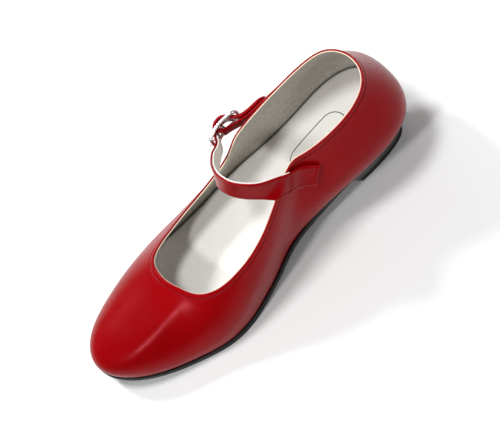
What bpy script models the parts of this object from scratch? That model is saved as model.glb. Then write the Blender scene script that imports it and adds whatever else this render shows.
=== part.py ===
"""Flamenco shoe for the right foot: a smooth strapped dance pump on a low block heel.

The shoe stands on z = 0 with its toe towards +X and its inner (big toe) side
towards +Y.  While it is being built, x is measured forward from the back of
the heel and y sideways from the middle line of the heel; the empty at the end
moves the whole shoe so that its origin is the middle of its box at floor level.
All lengths are metres.
"""

import math
from collections import namedtuple

import bmesh
import bpy
import numpy as np
from mathutils import Vector
from mathutils.bvhtree import BVHTree

MM = 0.001

# Driving sizes of the last
FOOT_LENGTH = 243 * MM      # heel to toe along the feather line, where upper meets sole
BALL_WIDTH = 84 * MM        # feather line across the ball
HEEL_RISE = 25.5 * MM       # floor to the underside of the outsole at the heel
TOE_SPRING = 10.4 * MM      # floor to the underside of the outsole at the toe
QUARTER_HEIGHT = 52.5 * MM  # feather line to topline at the back of the heel

# Upper
WALL = 1.6 * MM             # leather with its lining
FEATHER_RADIUS = 2.2 * MM   # turn from the side into the lasting margin
LASTING_MARGIN = 9 * MM     # how far the upper is turned in over the sole

# Sole, insole and heel
SOLE_THICK = 4 * MM
SOLE_EDGE = 0.9 * MM        # how far the outsole stands out past the upper
EDGE_BEVEL = 0.6 * MM       # worn corner of the outsole, the insole and the top piece
INSOLE_THICK = 2.2 * MM
HEEL_TUCK = 5 * MM          # outsole inside the feather line round the heel
HEEL_INSET = 0.7 * MM       # heel seat inside the edge of the outsole
BREAST = 57 * MM            # back of the heel to the front face of the heel
BREAST_CURVE = 2.5 * MM     # hollow of that front face
HEEL_BACK_SLOPE = 6 * MM    # how far the back of the heel leans in at the floor
HEEL_SIDE_SLOPE = 7 * MM    # how far each side leans in at the floor
HEEL_BREAST_SLOPE = 4 * MM  # how far the front face leans back at the floor
LIFT_THICK = 4 * MM         # top piece, the layer that meets the floor

# Strap and buckle
STRAP_ROOT = 15 * MM        # width where it is sewn on
STRAP_END = 11.6 * MM       # width at the buckle
STRAP_THICK = 2.4 * MM
TAB_WIDTH = 9.6 * MM
TAB_THICK = 1.3 * MM
FRAME_ROD = 1.1 * MM        # radius of the buckle's outer rod
BAR_ROD = 0.9 * MM          # radius of its centre bar
BAR_INSET = 1.3 * MM        # centre bar behind the plane of the frame
FRAME_CORNER = 3 * MM       # radius of the frame's corners
FRAME_LEAN = 11             # degrees that the frame leans in towards its top
PRONG_ROD = 0.7 * MM

# Clearances
GAP = 0.3 * MM              # between pieces that lie on each other
BAR_CLEAR = 0.9 * MM        # between the strap and a bar that it crosses at a slant
SIDE_CLEAR = 0.6 * MM       # between the strap's edges and the sides of the frame
RIM_EASE = 7 * MM           # reach past the topline over which a strap comes free of the upper

# Mesh density
COLUMNS = 72                # round the shoe, twice a whole number
FEATHER_ROWS = 4            # round the turn into the lasting margin
WALL_ROWS = 10              # up the side of the upper
CROSS = 6                   # across the sole

# Sections of the last, once round from the back of the heel by the inner side.
# foot_* is the feather line and top_* the topline.  along is a share of
# FOOT_LENGTH, out of half BALL_WIDTH and rise of QUARTER_HEIGHT.  lean is in
# degrees, outward from upright at the foot and inward at the top, and pull is
# the share of the side's height that keeps that lean.  tuck is the share of
# HEEL_TUCK by which the outsole lies inside the feather line.
Section = namedtuple("Section", "place foot_along foot_out foot_lean foot_pull "
                                "top_along top_out top_rise top_lean top_pull tuck")
SECTIONS = (
    Section("heel back",           0.010,  0.00, 46, .34, 0.035,  0.00, 0.985, 14, .34, 1.0),
    Section("inner heel corner",   0.035,  0.52, 48, .36, 0.060,  0.44, 1.000, 12, .34, 1.0),
    Section("inner heel",          0.138,  0.73, 42, .35, 0.155,  0.61, 0.950, 10, .33, 1.0),
    Section("inner quarter",       0.270,  0.68, 32, .34, 0.265,  0.51, 0.915,  6, .33, 0.5),
    Section("inner waist",         0.420,  0.59, 16, .33, 0.330,  0.52, 1.000,  6, .33, 0.0),
    Section("inner instep",        0.525,  0.74, 16, .33, 0.470,  0.76, 0.875, 12, .33, 0.0),
    Section("inner ball",          0.670,  0.92, 12, .32, 0.608,  0.755, 0.770, 34, .36, 0.0),
    Section("inner forepart",      0.780,  0.82, 10, .28, 0.685,  0.52, 0.690, 55, .42, 0.0),
    Section("inner toe",           0.915,  0.52,  8, .24, 0.713,  0.23, 0.700, 68, .46, 0.0),
    Section("toe tip",             1.000, -0.01,  6, .22, 0.727, -0.03, 0.695, 70, .46, 0.0),
    Section("outer toe",           0.950, -0.60,  8, .24, 0.727, -0.30, 0.675, 68, .46, 0.0),
    Section("outer forepart",      0.806, -0.93, 10, .28, 0.702, -0.54, 0.620, 55, .42, 0.0),
    Section("outer ball",          0.680, -1.02, 12, .32, 0.600, -0.70, 0.555, 34, .36, 0.0),
    Section("outer instep",        0.550, -0.96, 12, .33, 0.440, -0.66, 0.630, 12, .33, 0.0),
    Section("outer waist",         0.420, -0.90, 12, .33, 0.368, -0.635, 0.815,  6, .33, 0.0),
    Section("outer quarter",       0.270, -0.72, 32, .34, 0.284, -0.68, 0.760,  6, .33, 0.5),
    Section("outer heel",          0.133, -0.70, 42, .35, 0.156, -0.59, 0.835, 10, .33, 1.0),
    Section("outer heel corner",   0.036, -0.50, 48, .36, 0.071, -0.41, 0.930, 12, .34, 1.0),
)

# Side profile of the sole: along is a share of FOOT_LENGTH, heel of HEEL_RISE
# and toe of TOE_SPRING.  Both are nothing under the ball, which lies flat.
Tread = namedtuple("Tread", "along heel toe")
TREAD = (
    Tread(0.00, 1.00, 0.00), Tread(0.14, 0.97, 0.00), Tread(0.24, 0.87, 0.00),
    Tread(0.36, 0.60, 0.00), Tread(0.47, 0.33, 0.00), Tread(0.57, 0.12, 0.00),
    Tread(0.66, 0.00, 0.00), Tread(0.75, 0.00, 0.00), Tread(0.84, 0.00, 0.20),
    Tread(0.92, 0.00, 0.55), Tread(1.00, 0.00, 1.00),
)

# Middle line of the strap from its sewn end to the buckle, in the sections'
# shares.  lean is how far its lower edge stands forward, in degrees, taper goes
# from STRAP_ROOT at 0 to STRAP_END at 1, and on_upper is 1 where it is sewn on.
Strap = namedtuple("Strap", "along out rise lean taper on_upper")
STRAP = (
    Strap(0.283,  0.617, 0.600,  7, 0.00, 1),
    Strap(0.321,  0.600, 0.808,  8, 0.00, 1),
    Strap(0.354,  0.581, 0.975,  9, 0.05, 0),
    Strap(0.408,  0.495, 1.205, 13, 0.20, 0),
    Strap(0.444,  0.276, 1.300, 19, 0.35, 0),
    Strap(0.459, -0.007, 1.270, 22, 0.50, 0),
    Strap(0.455, -0.271, 1.130, 13, 0.70, 0),
    Strap(0.437, -0.514, 0.970,  6, 0.85, 0),
)
# Where its free end lies on the outer quarter, behind the buckle.
STRAP_TAIL = (
    Strap(0.296, -0.810, 0.680,  9, 1.00, 1),
    Strap(0.272, -0.800, 0.650,  9, 1.00, 1),
    Strap(0.247, -0.790, 0.620,  9, 1.00, 1),
)

# Middle of the buckle's rear rod, centre bar and front rod, in the same shares.
Place = namedtuple("Place", "along out rise")
BUCKLE_REAR = Place(0.322, -0.895, 0.725)
BUCKLE_MIDDLE = Place(0.376, -0.907, 0.790)
BUCKLE_FRONT = Place(0.415, -0.805, 0.835)
# The tab that holds it, from its sewn end on the outer quarter forward.
TAB = (Place(0.205, -0.72, 0.640), Place(0.250, -0.72, 0.650), Place(0.285, -0.73, 0.680))

UP = np.array([0.0, 0.0, 1.0])


# Curves

def rising_curve(knots, values, at):
    """Cubic through (knots, values) that never overshoots them."""
    step = np.diff(knots)
    slope = np.diff(values) / step
    tangent = np.zeros(len(knots))
    for i in range(1, len(knots) - 1):
        if slope[i - 1] * slope[i] > 0:
            before = step[i] * 2 + step[i - 1]
            after = step[i] + step[i - 1] * 2
            tangent[i] = (before + after) / (before / slope[i - 1] + after / slope[i])
    tangent[0], tangent[-1] = slope[0], slope[-1]
    at = np.clip(at, knots[0], knots[-1])
    i = np.clip(np.searchsorted(knots, at, side="right") - 1, 0, len(step) - 1)
    return hermite((at - knots[i]) / step[i], values[i], values[i + 1],
                   tangent[i] * step[i], tangent[i + 1] * step[i])


def hermite(s, start, end, start_tangent, end_tangent):
    return ((2 * s ** 3 - 3 * s ** 2 + 1) * start + (s ** 3 - 2 * s ** 2 + s) * start_tangent
            + (3 * s ** 2 - 2 * s ** 3) * end + (s ** 3 - s ** 2) * end_tangent)


def closed_curve(values, at):
    """Cubic spline through evenly spaced values that closes on itself; at runs 0 to 1."""
    values = np.asarray(values, float)
    count = len(values)
    matrix = 4 * np.eye(count) + np.roll(np.eye(count), 1, 0) + np.roll(np.eye(count), -1, 0)
    tangent = np.linalg.solve(matrix, 3 * (np.roll(values, -1, 0) - np.roll(values, 1, 0)))
    place = (np.asarray(at) % 1.0) * count
    i = np.floor(place).astype(int) % count
    j = (i + 1) % count
    return hermite((place - np.floor(place))[:, None], values[i], values[j], tangent[i], tangent[j])


def open_curve(points, per_span):
    """Smooth curve through points, per_span steps from each one to the next."""
    points = np.asarray(points, float)
    lengths = np.linalg.norm(np.diff(points[:, :3], axis=0), axis=1)
    knots = np.concatenate([[0], np.cumsum(lengths)])
    tangent = np.gradient(points, knots, axis=0)
    rows = []
    for i, length in enumerate(lengths):
        for k in range(per_span):
            rows.append(hermite(k / per_span, points[i], points[i + 1],
                                tangent[i] * length, tangent[i + 1] * length))
    rows.append(points[-1])
    return np.array(rows)


# The last: sole profile, feather line, topline and the surface between them

def tread_z(x):
    """Height of the outsole's underside over the floor, x from the back of the heel."""
    table = np.array(TREAD)
    share = np.asarray(x) / FOOT_LENGTH
    return (HEEL_RISE * rising_curve(table[:, 0], table[:, 1], share)
            + TOE_SPRING * rising_curve(table[:, 0], table[:, 2], share))


def seat_z(x):
    """Height of the upper's underside, which lies on the outsole."""
    return tread_z(x) + SOLE_THICK + GAP


def last_lines(turns):
    """Feather line, topline and the leans, pulls and tuck at shares of a turn round the shoe."""
    table = closed_curve([section[1:] for section in SECTIONS], turns)
    foot_x, top_x = table[:, 0] * FOOT_LENGTH, table[:, 4] * FOOT_LENGTH
    foot = np.stack([foot_x, table[:, 1] * BALL_WIDTH / 2, seat_z(foot_x)], 1)
    top = np.stack([top_x, table[:, 5] * BALL_WIDTH / 2,
                    seat_z(top_x) + table[:, 6] * QUARTER_HEIGHT], 1)
    return foot, top, table[:, [2, 3, 7, 8, 9]]


def outward(loop):
    """Level unit vectors that point out of a loop running heel, inner side, toe, outer side."""
    along = np.roll(loop, -1, 0) - np.roll(loop, 1, 0)
    normal = np.stack([-along[:, 1], along[:, 0], np.zeros(len(loop))], 1)
    return normal / np.linalg.norm(normal, axis=1)[:, None]


def moved_in(loop, distance):
    """The loop moved level towards the inside, with its height read from the seat again."""
    moved = loop - outward(loop) * distance
    moved[:, 2] = seat_z(moved[:, 0])
    return moved


def upper_rows():
    """Loops of the upper's outer face, from the lasting margin's edge up to the topline."""
    foot, top, bend = last_lines(np.arange(COLUMNS) / COLUMNS)
    foot_lean, foot_pull = np.radians(bend[:, :1]), bend[:, 1:2]
    top_lean, top_pull = np.radians(bend[:, 2:3]), bend[:, 3:4]
    rows = [moved_in(foot, LASTING_MARGIN), moved_in(foot, (LASTING_MARGIN + FEATHER_RADIUS) / 2)]
    for share in np.linspace(0, 1, FEATHER_ROWS):
        angle = (math.pi / 2 - foot_lean) * share
        row = moved_in(foot, FEATHER_RADIUS * (1 - np.sin(angle)))
        rows.append(row + UP * FEATHER_RADIUS * (1 - np.cos(angle)))
    start = rows.pop()
    height = np.linalg.norm(top - start, axis=1)[:, None]
    low = start + foot_pull * height * (np.cos(foot_lean) * UP + np.sin(foot_lean) * outward(foot))
    high = top + top_pull * height * (np.sin(top_lean) * outward(top) - np.cos(top_lean) * UP)
    for v in np.linspace(0, 1, WALL_ROWS):
        rows.append((1 - v) ** 3 * start + 3 * v * (1 - v) ** 2 * low
                    + 3 * v ** 2 * (1 - v) * high + v ** 3 * top)
    return rows


def placed(row):
    """A strap or buckle row's place in metres."""
    x = row.along * FOOT_LENGTH
    return np.array([x, row.out * BALL_WIDTH / 2, seat_z(x) + row.rise * QUARTER_HEIGHT])


# Meshes

def new_object(name, vertices, faces, material):
    mesh = bpy.data.meshes.new(name)
    mesh.from_pydata([tuple(v) for v in vertices], [], faces)
    mesh.validate()
    piece = bpy.data.objects.new(name, mesh)
    bpy.context.scene.collection.objects.link(piece)
    if material:
        mesh.materials.append(material)
    return piece


def close_normals(piece, sharp=35):
    """Turn a closed body's faces outward and shade it smooth but for its corners."""
    body = bmesh.new()
    body.from_mesh(piece.data)
    bmesh.ops.remove_doubles(body, verts=body.verts, dist=0.00001)
    bmesh.ops.recalc_face_normals(body, faces=body.faces)
    body.to_mesh(piece.data)
    body.free()
    piece.data.shade_smooth()
    piece.data.set_sharp_from_angle(angle=math.radians(sharp))
    return piece


def band_faces(rows, columns, closed=True):
    """Quads of a grid whose rows are loops of columns."""
    faces = []
    for r in range(rows - 1):
        for c in range(columns if closed else columns - 1):
            d = (c + 1) % columns
            faces.append((r * columns + c, (r + 1) * columns + c,
                          (r + 1) * columns + d, r * columns + d))
    return faces


def ribbed_body(name, loops, top_height, bottom_height, material, front=1):
    """Closed body of stacked loops, top first, with ribs across its two ends.

    Each loop starts at the middle of the back, and its points i and -i face each
    other across the shoe.  Its front, one point or CROSS + 1, makes the last rib.
    """
    count = len(loops[0])
    last = (count - front + 1) // 2
    vertices = [point for loop in loops for point in loop]
    faces = band_faces(len(loops), count)
    for loop, first, height in ((loops[0], 0, top_height),
                                (loops[-1], (len(loops) - 1) * count, bottom_height)):
        ribs = [[first]]
        for i in range(1, last):
            rib = [first + i]
            for k in range(1, CROSS):
                point = loop[i] + (loop[count - i] - loop[i]) * (k / CROSS)
                point[2] = height(point[0])
                rib.append(len(vertices))
                vertices.append(point)
            rib.append(first + count - i)
            ribs.append(rib)
        ribs.append(list(range(first + last, first + last + front)))
        for near, far in zip(ribs, ribs[1:]):
            for k in range(CROSS):
                a, b = near[min(k, len(near) - 1)], near[min(k + 1, len(near) - 1)]
                c, d = far[min(k + 1, len(far) - 1)], far[min(k, len(far) - 1)]
                faces.append(tuple(dict.fromkeys((a, b, c, d))))
    return close_normals(new_object(name, vertices, faces, material))


def ribbon(name, centres, across, widths, thick, lifts, on_upper, upper_surface, material):
    """Flat strip along centres, laid on the upper where on_upper is 1 and kept off it elsewhere.

    across points over the strip's width, lifts is how far its middle layer
    stands off the upper where it lies on it.
    """
    stretch = (-1.0, -0.5, 0.0, 0.5, 1.0)
    soft = 0.5 * MM
    tangent = np.gradient(centres, axis=0)
    vertices = []
    for centre, along, side, width, lift, share in zip(centres, tangent, across, widths,
                                                       lifts, on_upper):
        side = side - along * np.dot(side, along) / np.dot(along, along)
        side = side / np.linalg.norm(side)
        normal = np.cross(along, side)
        normal = normal / np.linalg.norm(normal)
        middle = []
        for q in stretch:
            reach = np.sign(q) * (abs(q) * width / 2 - soft * (abs(q) == 1))
            point, face_normal = centre + side * reach, normal
            hit, hit_normal, _, _ = upper_surface.find_nearest(Vector(point))
            hit_normal = np.array(hit_normal)
            offset = point - np.array(hit)
            depth = np.dot(offset, hit_normal)
            past_rim = min(np.linalg.norm(offset - hit_normal * depth) / RIM_EASE, 1.0)
            hold = hermite(past_rim, 1, 0, 0, 0)
            push = (lift - depth) * hold
            point = point + hit_normal * (push if push > 0 else push * share)
            face_normal = face_normal * (1 - share * hold) + hit_normal * share * hold
            middle.append((point, face_normal / np.linalg.norm(face_normal)))
        half = thick / 2
        ring = [point + n * half for point, n in middle]
        ring.append(middle[-1][0] + side * soft + middle[-1][1] * (half - soft))
        ring.append(middle[-1][0] + side * soft - middle[-1][1] * (half - soft))
        ring += [point - n * half for point, n in reversed(middle)]
        ring.append(middle[0][0] - side * soft - middle[0][1] * (half - soft))
        ring.append(middle[0][0] - side * soft + middle[0][1] * (half - soft))
        vertices += ring
    count = len(vertices) // len(centres)
    faces = band_faces(len(centres), count)
    faces.append(tuple(range(count)))
    faces.append(tuple(range(len(vertices) - count, len(vertices))))
    return close_normals(new_object(name, vertices, faces, material))


def rod(name, path, side, radius, material, closed=False, sides=8):
    """Round rod along path; side lists one vector for each point, square to the path."""
    if closed:
        tangent = np.roll(path, -1, 0) - np.roll(path, 1, 0)
    else:
        tangent = np.gradient(path, axis=0)
    vertices = []
    for point, along, normal in zip(path, tangent, side):
        other = np.cross(along, normal)
        other = other / np.linalg.norm(other)
        for k in range(sides):
            angle = 2 * math.pi * k / sides
            vertices.append(point + radius * (math.cos(angle) * normal + math.sin(angle) * other))
    rows = len(path)
    faces = band_faces(rows, sides)
    if closed:
        last = (rows - 1) * sides
        for k in range(sides):
            j = (k + 1) % sides
            faces.append((last + k, k, j, last + j))
    else:
        faces.append(tuple(range(sides)))
        faces.append(tuple(range((rows - 1) * sides, rows * sides)))
    return close_normals(new_object(name, vertices, faces, material))


def cut(piece, cutter, operation="DIFFERENCE"):
    """Boolean of piece with a cutter that stays hidden."""
    cutter.hide_render = True
    cutter.display_type = "WIRE"
    step = piece.modifiers.new(cutter.name, "BOOLEAN")
    step.operation = operation
    step.object = cutter


def material(name, color, roughness, metallic=0.0):
    made = bpy.data.materials.new(name)
    made.use_nodes = True
    shader = made.node_tree.nodes["Principled BSDF"]
    shader.inputs["Base Color"].default_value = (*color, 1.0)
    shader.inputs["Roughness"].default_value = roughness
    shader.inputs["Metallic"].default_value = metallic
    return made


# Upper, outsole and insole

def make_upper(leather):
    rows = upper_rows()
    piece = new_object("upper", np.concatenate(rows), band_faces(len(rows), COLUMNS), leather)
    piece.data.shade_smooth()
    wall = piece.modifiers.new("wall", "SOLIDIFY")
    wall.thickness = WALL
    wall.offset = -1
    wall.use_even_offset = True
    wall.use_quality_normals = True
    return piece


def surface_of(piece):
    """The upper's outer face, for laying straps on it."""
    return BVHTree.FromPolygons([v.co for v in piece.data.vertices],
                                [p.vertices for p in piece.data.polygons])


def sole_line(turns, step_out):
    """Outline of the outsole, step_out past the tucked feather line, at height nothing."""
    foot, _, shape = last_lines(turns)
    line = foot + outward(foot) * (step_out - HEEL_TUCK * shape[:, 4:])
    line[:, 2] = 0
    return line


def at_height(loop, height, shift=0.0):
    lifted = loop.copy()
    lifted[:, 2] = height(lifted[:, 0]) + shift
    return lifted


def make_outsole(rubber):
    turns = np.arange(COLUMNS) / COLUMNS
    full = sole_line(turns, SOLE_EDGE)
    worn = sole_line(turns, SOLE_EDGE - EDGE_BEVEL)

    def top(x):
        return tread_z(x) + SOLE_THICK

    loops = [at_height(worn, top), at_height(full, top, -EDGE_BEVEL),
             at_height(full, tread_z, EDGE_BEVEL), at_height(worn, tread_z)]
    return ribbed_body("outsole", loops, top, tread_z, rubber)


def make_insole(cloth):
    """Lies on the turned-in margin, inside the wall of the upper."""
    foot = last_lines(np.arange(COLUMNS) / COLUMNS)[0]
    full = moved_in(foot, WALL + GAP)
    worn = moved_in(foot, WALL + GAP + EDGE_BEVEL)

    def bottom(x):
        return seat_z(x) + WALL + GAP

    def top(x):
        return bottom(x) + INSOLE_THICK

    loops = [at_height(worn, top), at_height(full, top, -EDGE_BEVEL),
             at_height(full, bottom, EDGE_BEVEL), at_height(worn, bottom)]
    return ribbed_body("insole", loops, top, bottom, cloth)


# Heel

def turn_at(x, start, end):
    """Share of a turn where the feather line reaches x; start lies behind it and end ahead."""
    for _ in range(30):
        middle = (start + end) / 2
        if last_lines(np.array([middle]))[0][0, 0] > x:
            end = middle
        else:
            start = middle
    return (start + end) / 2


def heel_loop(drop, inset):
    """Outline of the heel; drop is 0 at the outsole and 1 at the floor."""
    arc = 14
    inner = np.linspace(0, turn_at(BREAST, 0.0, 0.3), arc)
    outer = np.linspace(turn_at(BREAST, 1.0, 0.7), 1, arc)[:-1]
    dense = np.arange(COLUMNS * 4) / (COLUMNS * 4)
    seat = closed_curve(sole_line(dense, SOLE_EDGE - inset), np.concatenate([inner, outer]))
    inner_rows, outer_rows = list(seat[:arc]), list(seat[arc:])
    corner, far = inner_rows[-1], outer_rows[0]
    front = [corner + (far - corner) * k / CROSS for k in range(1, CROSS)]
    for k, point in enumerate(front, 1):
        point[0] -= BREAST_CURVE * math.sin(math.pi * k / CROSS)
    loop = np.array(inner_rows + front + outer_rows)
    reach = np.clip(loop[:, 0] / BREAST, 0, 1)
    half = np.max(np.abs(loop[:, 1]))
    loop[:, 0] += drop * (HEEL_BACK_SLOPE * (1 - reach) - HEEL_BREAST_SLOPE * reach)
    loop[:, 1] *= 1 - drop * HEEL_SIDE_SLOPE / half
    loop[:, 2] = 0
    return loop


def make_heel_block(stack):
    def top(x):
        return tread_z(x) - GAP

    def bottom(x):
        return np.zeros_like(x) + LIFT_THICK + GAP

    loops = []
    for drop in np.linspace(0, 1, 6):
        narrowing = drop ** 0.8
        loop = heel_loop(narrowing, HEEL_INSET)
        loop[:, 2] = top(loop[:, 0]) * (1 - drop) + bottom(loop[:, 0]) * drop
        loops.append(loop)
    return ribbed_body("heel_block", loops, top, bottom, stack, front=CROSS + 1)


def make_heel_lift(rubber):
    def top(x):
        return np.zeros_like(x) + LIFT_THICK

    def bottom(x):
        return np.zeros_like(x)

    full = heel_loop(1, HEEL_INSET)
    worn = heel_loop(1, HEEL_INSET + EDGE_BEVEL)
    loops = [at_height(full, top), at_height(full, bottom, EDGE_BEVEL), at_height(worn, bottom)]
    return ribbed_body("heel_lift", loops, top, bottom, rubber, front=CROSS + 1)


# Buckle, strap and tab

LEAN_UP = np.array([0.0, math.sin(math.radians(FRAME_LEAN)), math.cos(math.radians(FRAME_LEAN))])


def frame_place(p):
    """Middle of the buckle at p, -1 at its rear rod and 1 at its front rod, and its outward way."""
    rear, middle, front = placed(BUCKLE_REAR), placed(BUCKLE_MIDDLE), placed(BUCKLE_FRONT)
    bow = (rear + front) / 2 - middle
    point = middle + (front - rear) / 2 * p + bow * p * p
    along = (front - rear) / 2 + 2 * bow * p
    normal = np.cross(along, LEAN_UP)
    return point, normal / np.linalg.norm(normal)


def frame_half():
    return STRAP_END / 2 + SIDE_CLEAR + FRAME_ROD


def make_buckle_frame(steel):
    half = frame_half()
    reach = np.linalg.norm(frame_place(1)[0] - frame_place(-1)[0]) / 2
    corner = FRAME_CORNER / reach
    outline = []
    for sign_p, sign_q, start in ((1, 1, 0), (-1, 1, 90), (-1, -1, 180), (1, -1, 270)):
        for turn in (0, 30, 60, 90):
            angle = math.radians(start + turn)
            outline.append((sign_p * (1 - corner) + corner * math.cos(angle),
                            sign_q * (half - FRAME_CORNER) + FRAME_CORNER * math.sin(angle)))
        if sign_q == 1 and sign_p == 1 or sign_q == -1 and sign_p == -1:
            for p in np.linspace(1 - corner, corner - 1, 7)[1:-1]:
                outline.append((p * sign_q, sign_q * half))
    path, side = [], []
    for p, q in outline:
        point, normal = frame_place(p)
        path.append(point + LEAN_UP * q)
        side.append(normal)
    frame = rod("buckle_frame", np.array(path), side, FRAME_ROD, steel, closed=True)
    middle, normal = frame_place(0)
    bar_path = np.array([middle - normal * BAR_INSET + LEAN_UP * q for q in (-half, 0, half)])
    bar = rod("centre_bar", bar_path, [normal] * 3, BAR_ROD, steel)
    cut(frame, bar, "UNION")
    return frame


def bar_centre():
    middle, normal = frame_place(0)
    return middle - normal * BAR_INSET


def strap_route():
    """Rows of x, y, z, lean, taper and on_upper along the strap."""
    rows = [[*placed(row), row.lean, row.taper, row.on_upper] for row in STRAP]
    under = FRAME_ROD + STRAP_THICK / 2 + BAR_CLEAR
    over = BAR_ROD + TAB_THICK + STRAP_THICK / 2 + GAP + BAR_CLEAR - BAR_INSET
    for p, off in ((1, -under), (0.42, 0.1 * over), (0, over), (-0.35, over), (-0.68, 0.1 * over),
                   (-1, -under)):
        point, normal = frame_place(p)
        rows.append([*(point + normal * off), FRAME_LEAN, 1, 0])
    rows += [[*placed(row), row.lean, row.taper, row.on_upper] for row in STRAP_TAIL]
    return open_curve(rows, 4)


def make_strap(leather, upper_surface):
    route = strap_route()
    centres = route[:, :3]
    tangent = np.gradient(centres, axis=0)
    level = np.stack([-tangent[:, 1], tangent[:, 0], np.zeros(len(route))], 1)
    level = level / np.linalg.norm(level, axis=1)[:, None]
    lean = np.radians(route[:, 3:4])
    across = np.sin(lean) * level - np.cos(lean) * UP
    widths = STRAP_ROOT + (STRAP_END - STRAP_ROOT) * route[:, 4]
    for k, share in enumerate((0.35, 0.75, 0.93)):
        widths[-1 - k] *= share
    on_upper = np.clip(route[:, 5], 0, 1)
    on_quarter = GAP + STRAP_THICK / 2
    on_tab = on_quarter + TAB_THICK + 2 * GAP
    lifts = np.where(np.arange(len(route)) < len(route) // 2, on_quarter, on_tab)
    return ribbon("strap", centres, across, widths, STRAP_THICK, lifts, on_upper,
                  upper_surface, leather)


def make_tab(leather, upper_surface):
    """Sewn to the outer quarter, it runs forward inside the strap and round the centre bar."""
    centre = bar_centre()
    _, normal = frame_place(0)
    forward = np.cross(LEAN_UP, normal)
    ring = BAR_ROD + GAP + TAB_THICK / 2
    rear, rear_normal = frame_place(-1)
    behind = rear - rear_normal * (FRAME_ROD + STRAP_THICK + 1.6 * BAR_CLEAR + TAB_THICK / 2)
    rows = [[*placed(row), 1] for row in TAB] + [[*behind, 0]]
    for turn in range(-90, 151, 30):
        angle = math.radians(turn)
        rows.append([*(centre + ring * (math.cos(angle) * forward + math.sin(angle) * normal)), 0])
    route = open_curve(rows, 3)
    count = len(route)
    return ribbon("buckle_tab", route[:, :3], np.tile(LEAN_UP, (count, 1)),
                  np.full(count, TAB_WIDTH), TAB_THICK, np.full(count, GAP + TAB_THICK / 2),
                  np.clip(route[:, 3], 0, 1), upper_surface, leather)


def prong_path():
    """Hook round the centre bar, then straight to rest on the front rod."""
    centre = bar_centre()
    _, normal = frame_place(0)
    front, front_normal = frame_place(1)
    tip = front + front_normal * (FRAME_ROD + PRONG_ROD + GAP)
    way = (tip - centre) / np.linalg.norm(tip - centre)
    beside = np.cross(way, LEAN_UP)
    beside = beside / np.linalg.norm(beside)
    ring = BAR_ROD + GAP + PRONG_ROD
    path = []
    for turn in range(-150, 91, 30):
        angle = math.radians(turn)
        path.append(centre + ring * (math.sin(angle) * beside - math.cos(angle) * way))
    path.append(tip + way * FRAME_ROD)
    return np.array(path)


def make_prong(steel):
    path = prong_path()
    tangent = np.gradient(path, axis=0)
    side = [np.cross(LEAN_UP, t) / np.linalg.norm(np.cross(LEAN_UP, t)) for t in tangent]
    prong = rod("buckle_prong", path, side, PRONG_ROD, steel)
    room = rod("prong_room", path, side, PRONG_ROD + GAP, None)
    return prong, room


def make_shoe():
    for old in list(bpy.data.objects):
        bpy.data.objects.remove(old)
    red = material("red_leather", (0.38, 0.0, 0.004), 0.42)
    lining = material("insole_cloth", (0.72, 0.69, 0.64), 0.75)
    black = material("black_rubber", (0.012, 0.012, 0.012), 0.5)
    stack = material("black_heel", (0.015, 0.014, 0.014), 0.35)
    steel = material("bright_steel", (0.78, 0.78, 0.77), 0.2, 1.0)

    upper = make_upper(red)
    upper_surface = surface_of(upper)
    prong, prong_room = make_prong(steel)
    strap = make_strap(red, upper_surface)
    tab = make_tab(red, upper_surface)
    cut(strap, prong_room)
    cut(tab, prong_room)
    pieces = [upper, make_outsole(black), make_insole(lining), make_heel_block(stack),
              make_heel_lift(black), strap, tab, make_buckle_frame(steel), prong]

    corners = np.array([vertex.co for piece in pieces for vertex in piece.data.vertices])
    low, high = corners.min(0), corners.max(0)
    shoe = bpy.data.objects.new("shoe", None)
    shoe.location = (-(low[0] + high[0]) / 2, -(low[1] + high[1]) / 2, -low[2])
    bpy.context.scene.collection.objects.link(shoe)
    for piece in bpy.context.scene.collection.objects:
        if piece is not shoe:
            piece.parent = shoe


make_shoe()
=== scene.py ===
# Looks of the red flamenco shoe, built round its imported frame
import math
import bmesh
import bpy
import numpy as np
from mathutils import Matrix, Vector
from mathutils.bvhtree import BVHTree


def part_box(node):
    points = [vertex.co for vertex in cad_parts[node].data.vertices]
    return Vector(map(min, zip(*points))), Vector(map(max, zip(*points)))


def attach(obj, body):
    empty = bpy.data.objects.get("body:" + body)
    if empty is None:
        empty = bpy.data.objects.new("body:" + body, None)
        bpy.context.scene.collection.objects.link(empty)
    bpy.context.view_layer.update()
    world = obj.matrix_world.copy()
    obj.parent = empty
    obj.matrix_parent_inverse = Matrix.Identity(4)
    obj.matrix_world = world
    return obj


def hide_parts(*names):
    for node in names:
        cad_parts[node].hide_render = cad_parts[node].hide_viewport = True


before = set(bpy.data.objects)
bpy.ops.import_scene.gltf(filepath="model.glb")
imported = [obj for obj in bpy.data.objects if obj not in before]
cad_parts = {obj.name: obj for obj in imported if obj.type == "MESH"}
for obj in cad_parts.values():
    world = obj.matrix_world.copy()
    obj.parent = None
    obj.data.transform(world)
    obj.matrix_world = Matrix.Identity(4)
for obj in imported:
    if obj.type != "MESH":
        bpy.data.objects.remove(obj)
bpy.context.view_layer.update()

scene = bpy.context.scene
mm = 0.001
up = np.array([0.0, 0.0, 1.0])


# Curves

def hermite(s, start, end, startTangent, endTangent):
    return ((2 * s ** 3 - 3 * s ** 2 + 1) * start + (s ** 3 - 2 * s ** 2 + s) * startTangent
            + (3 * s ** 2 - 2 * s ** 3) * end + (s ** 3 - s ** 2) * endTangent)


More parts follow.
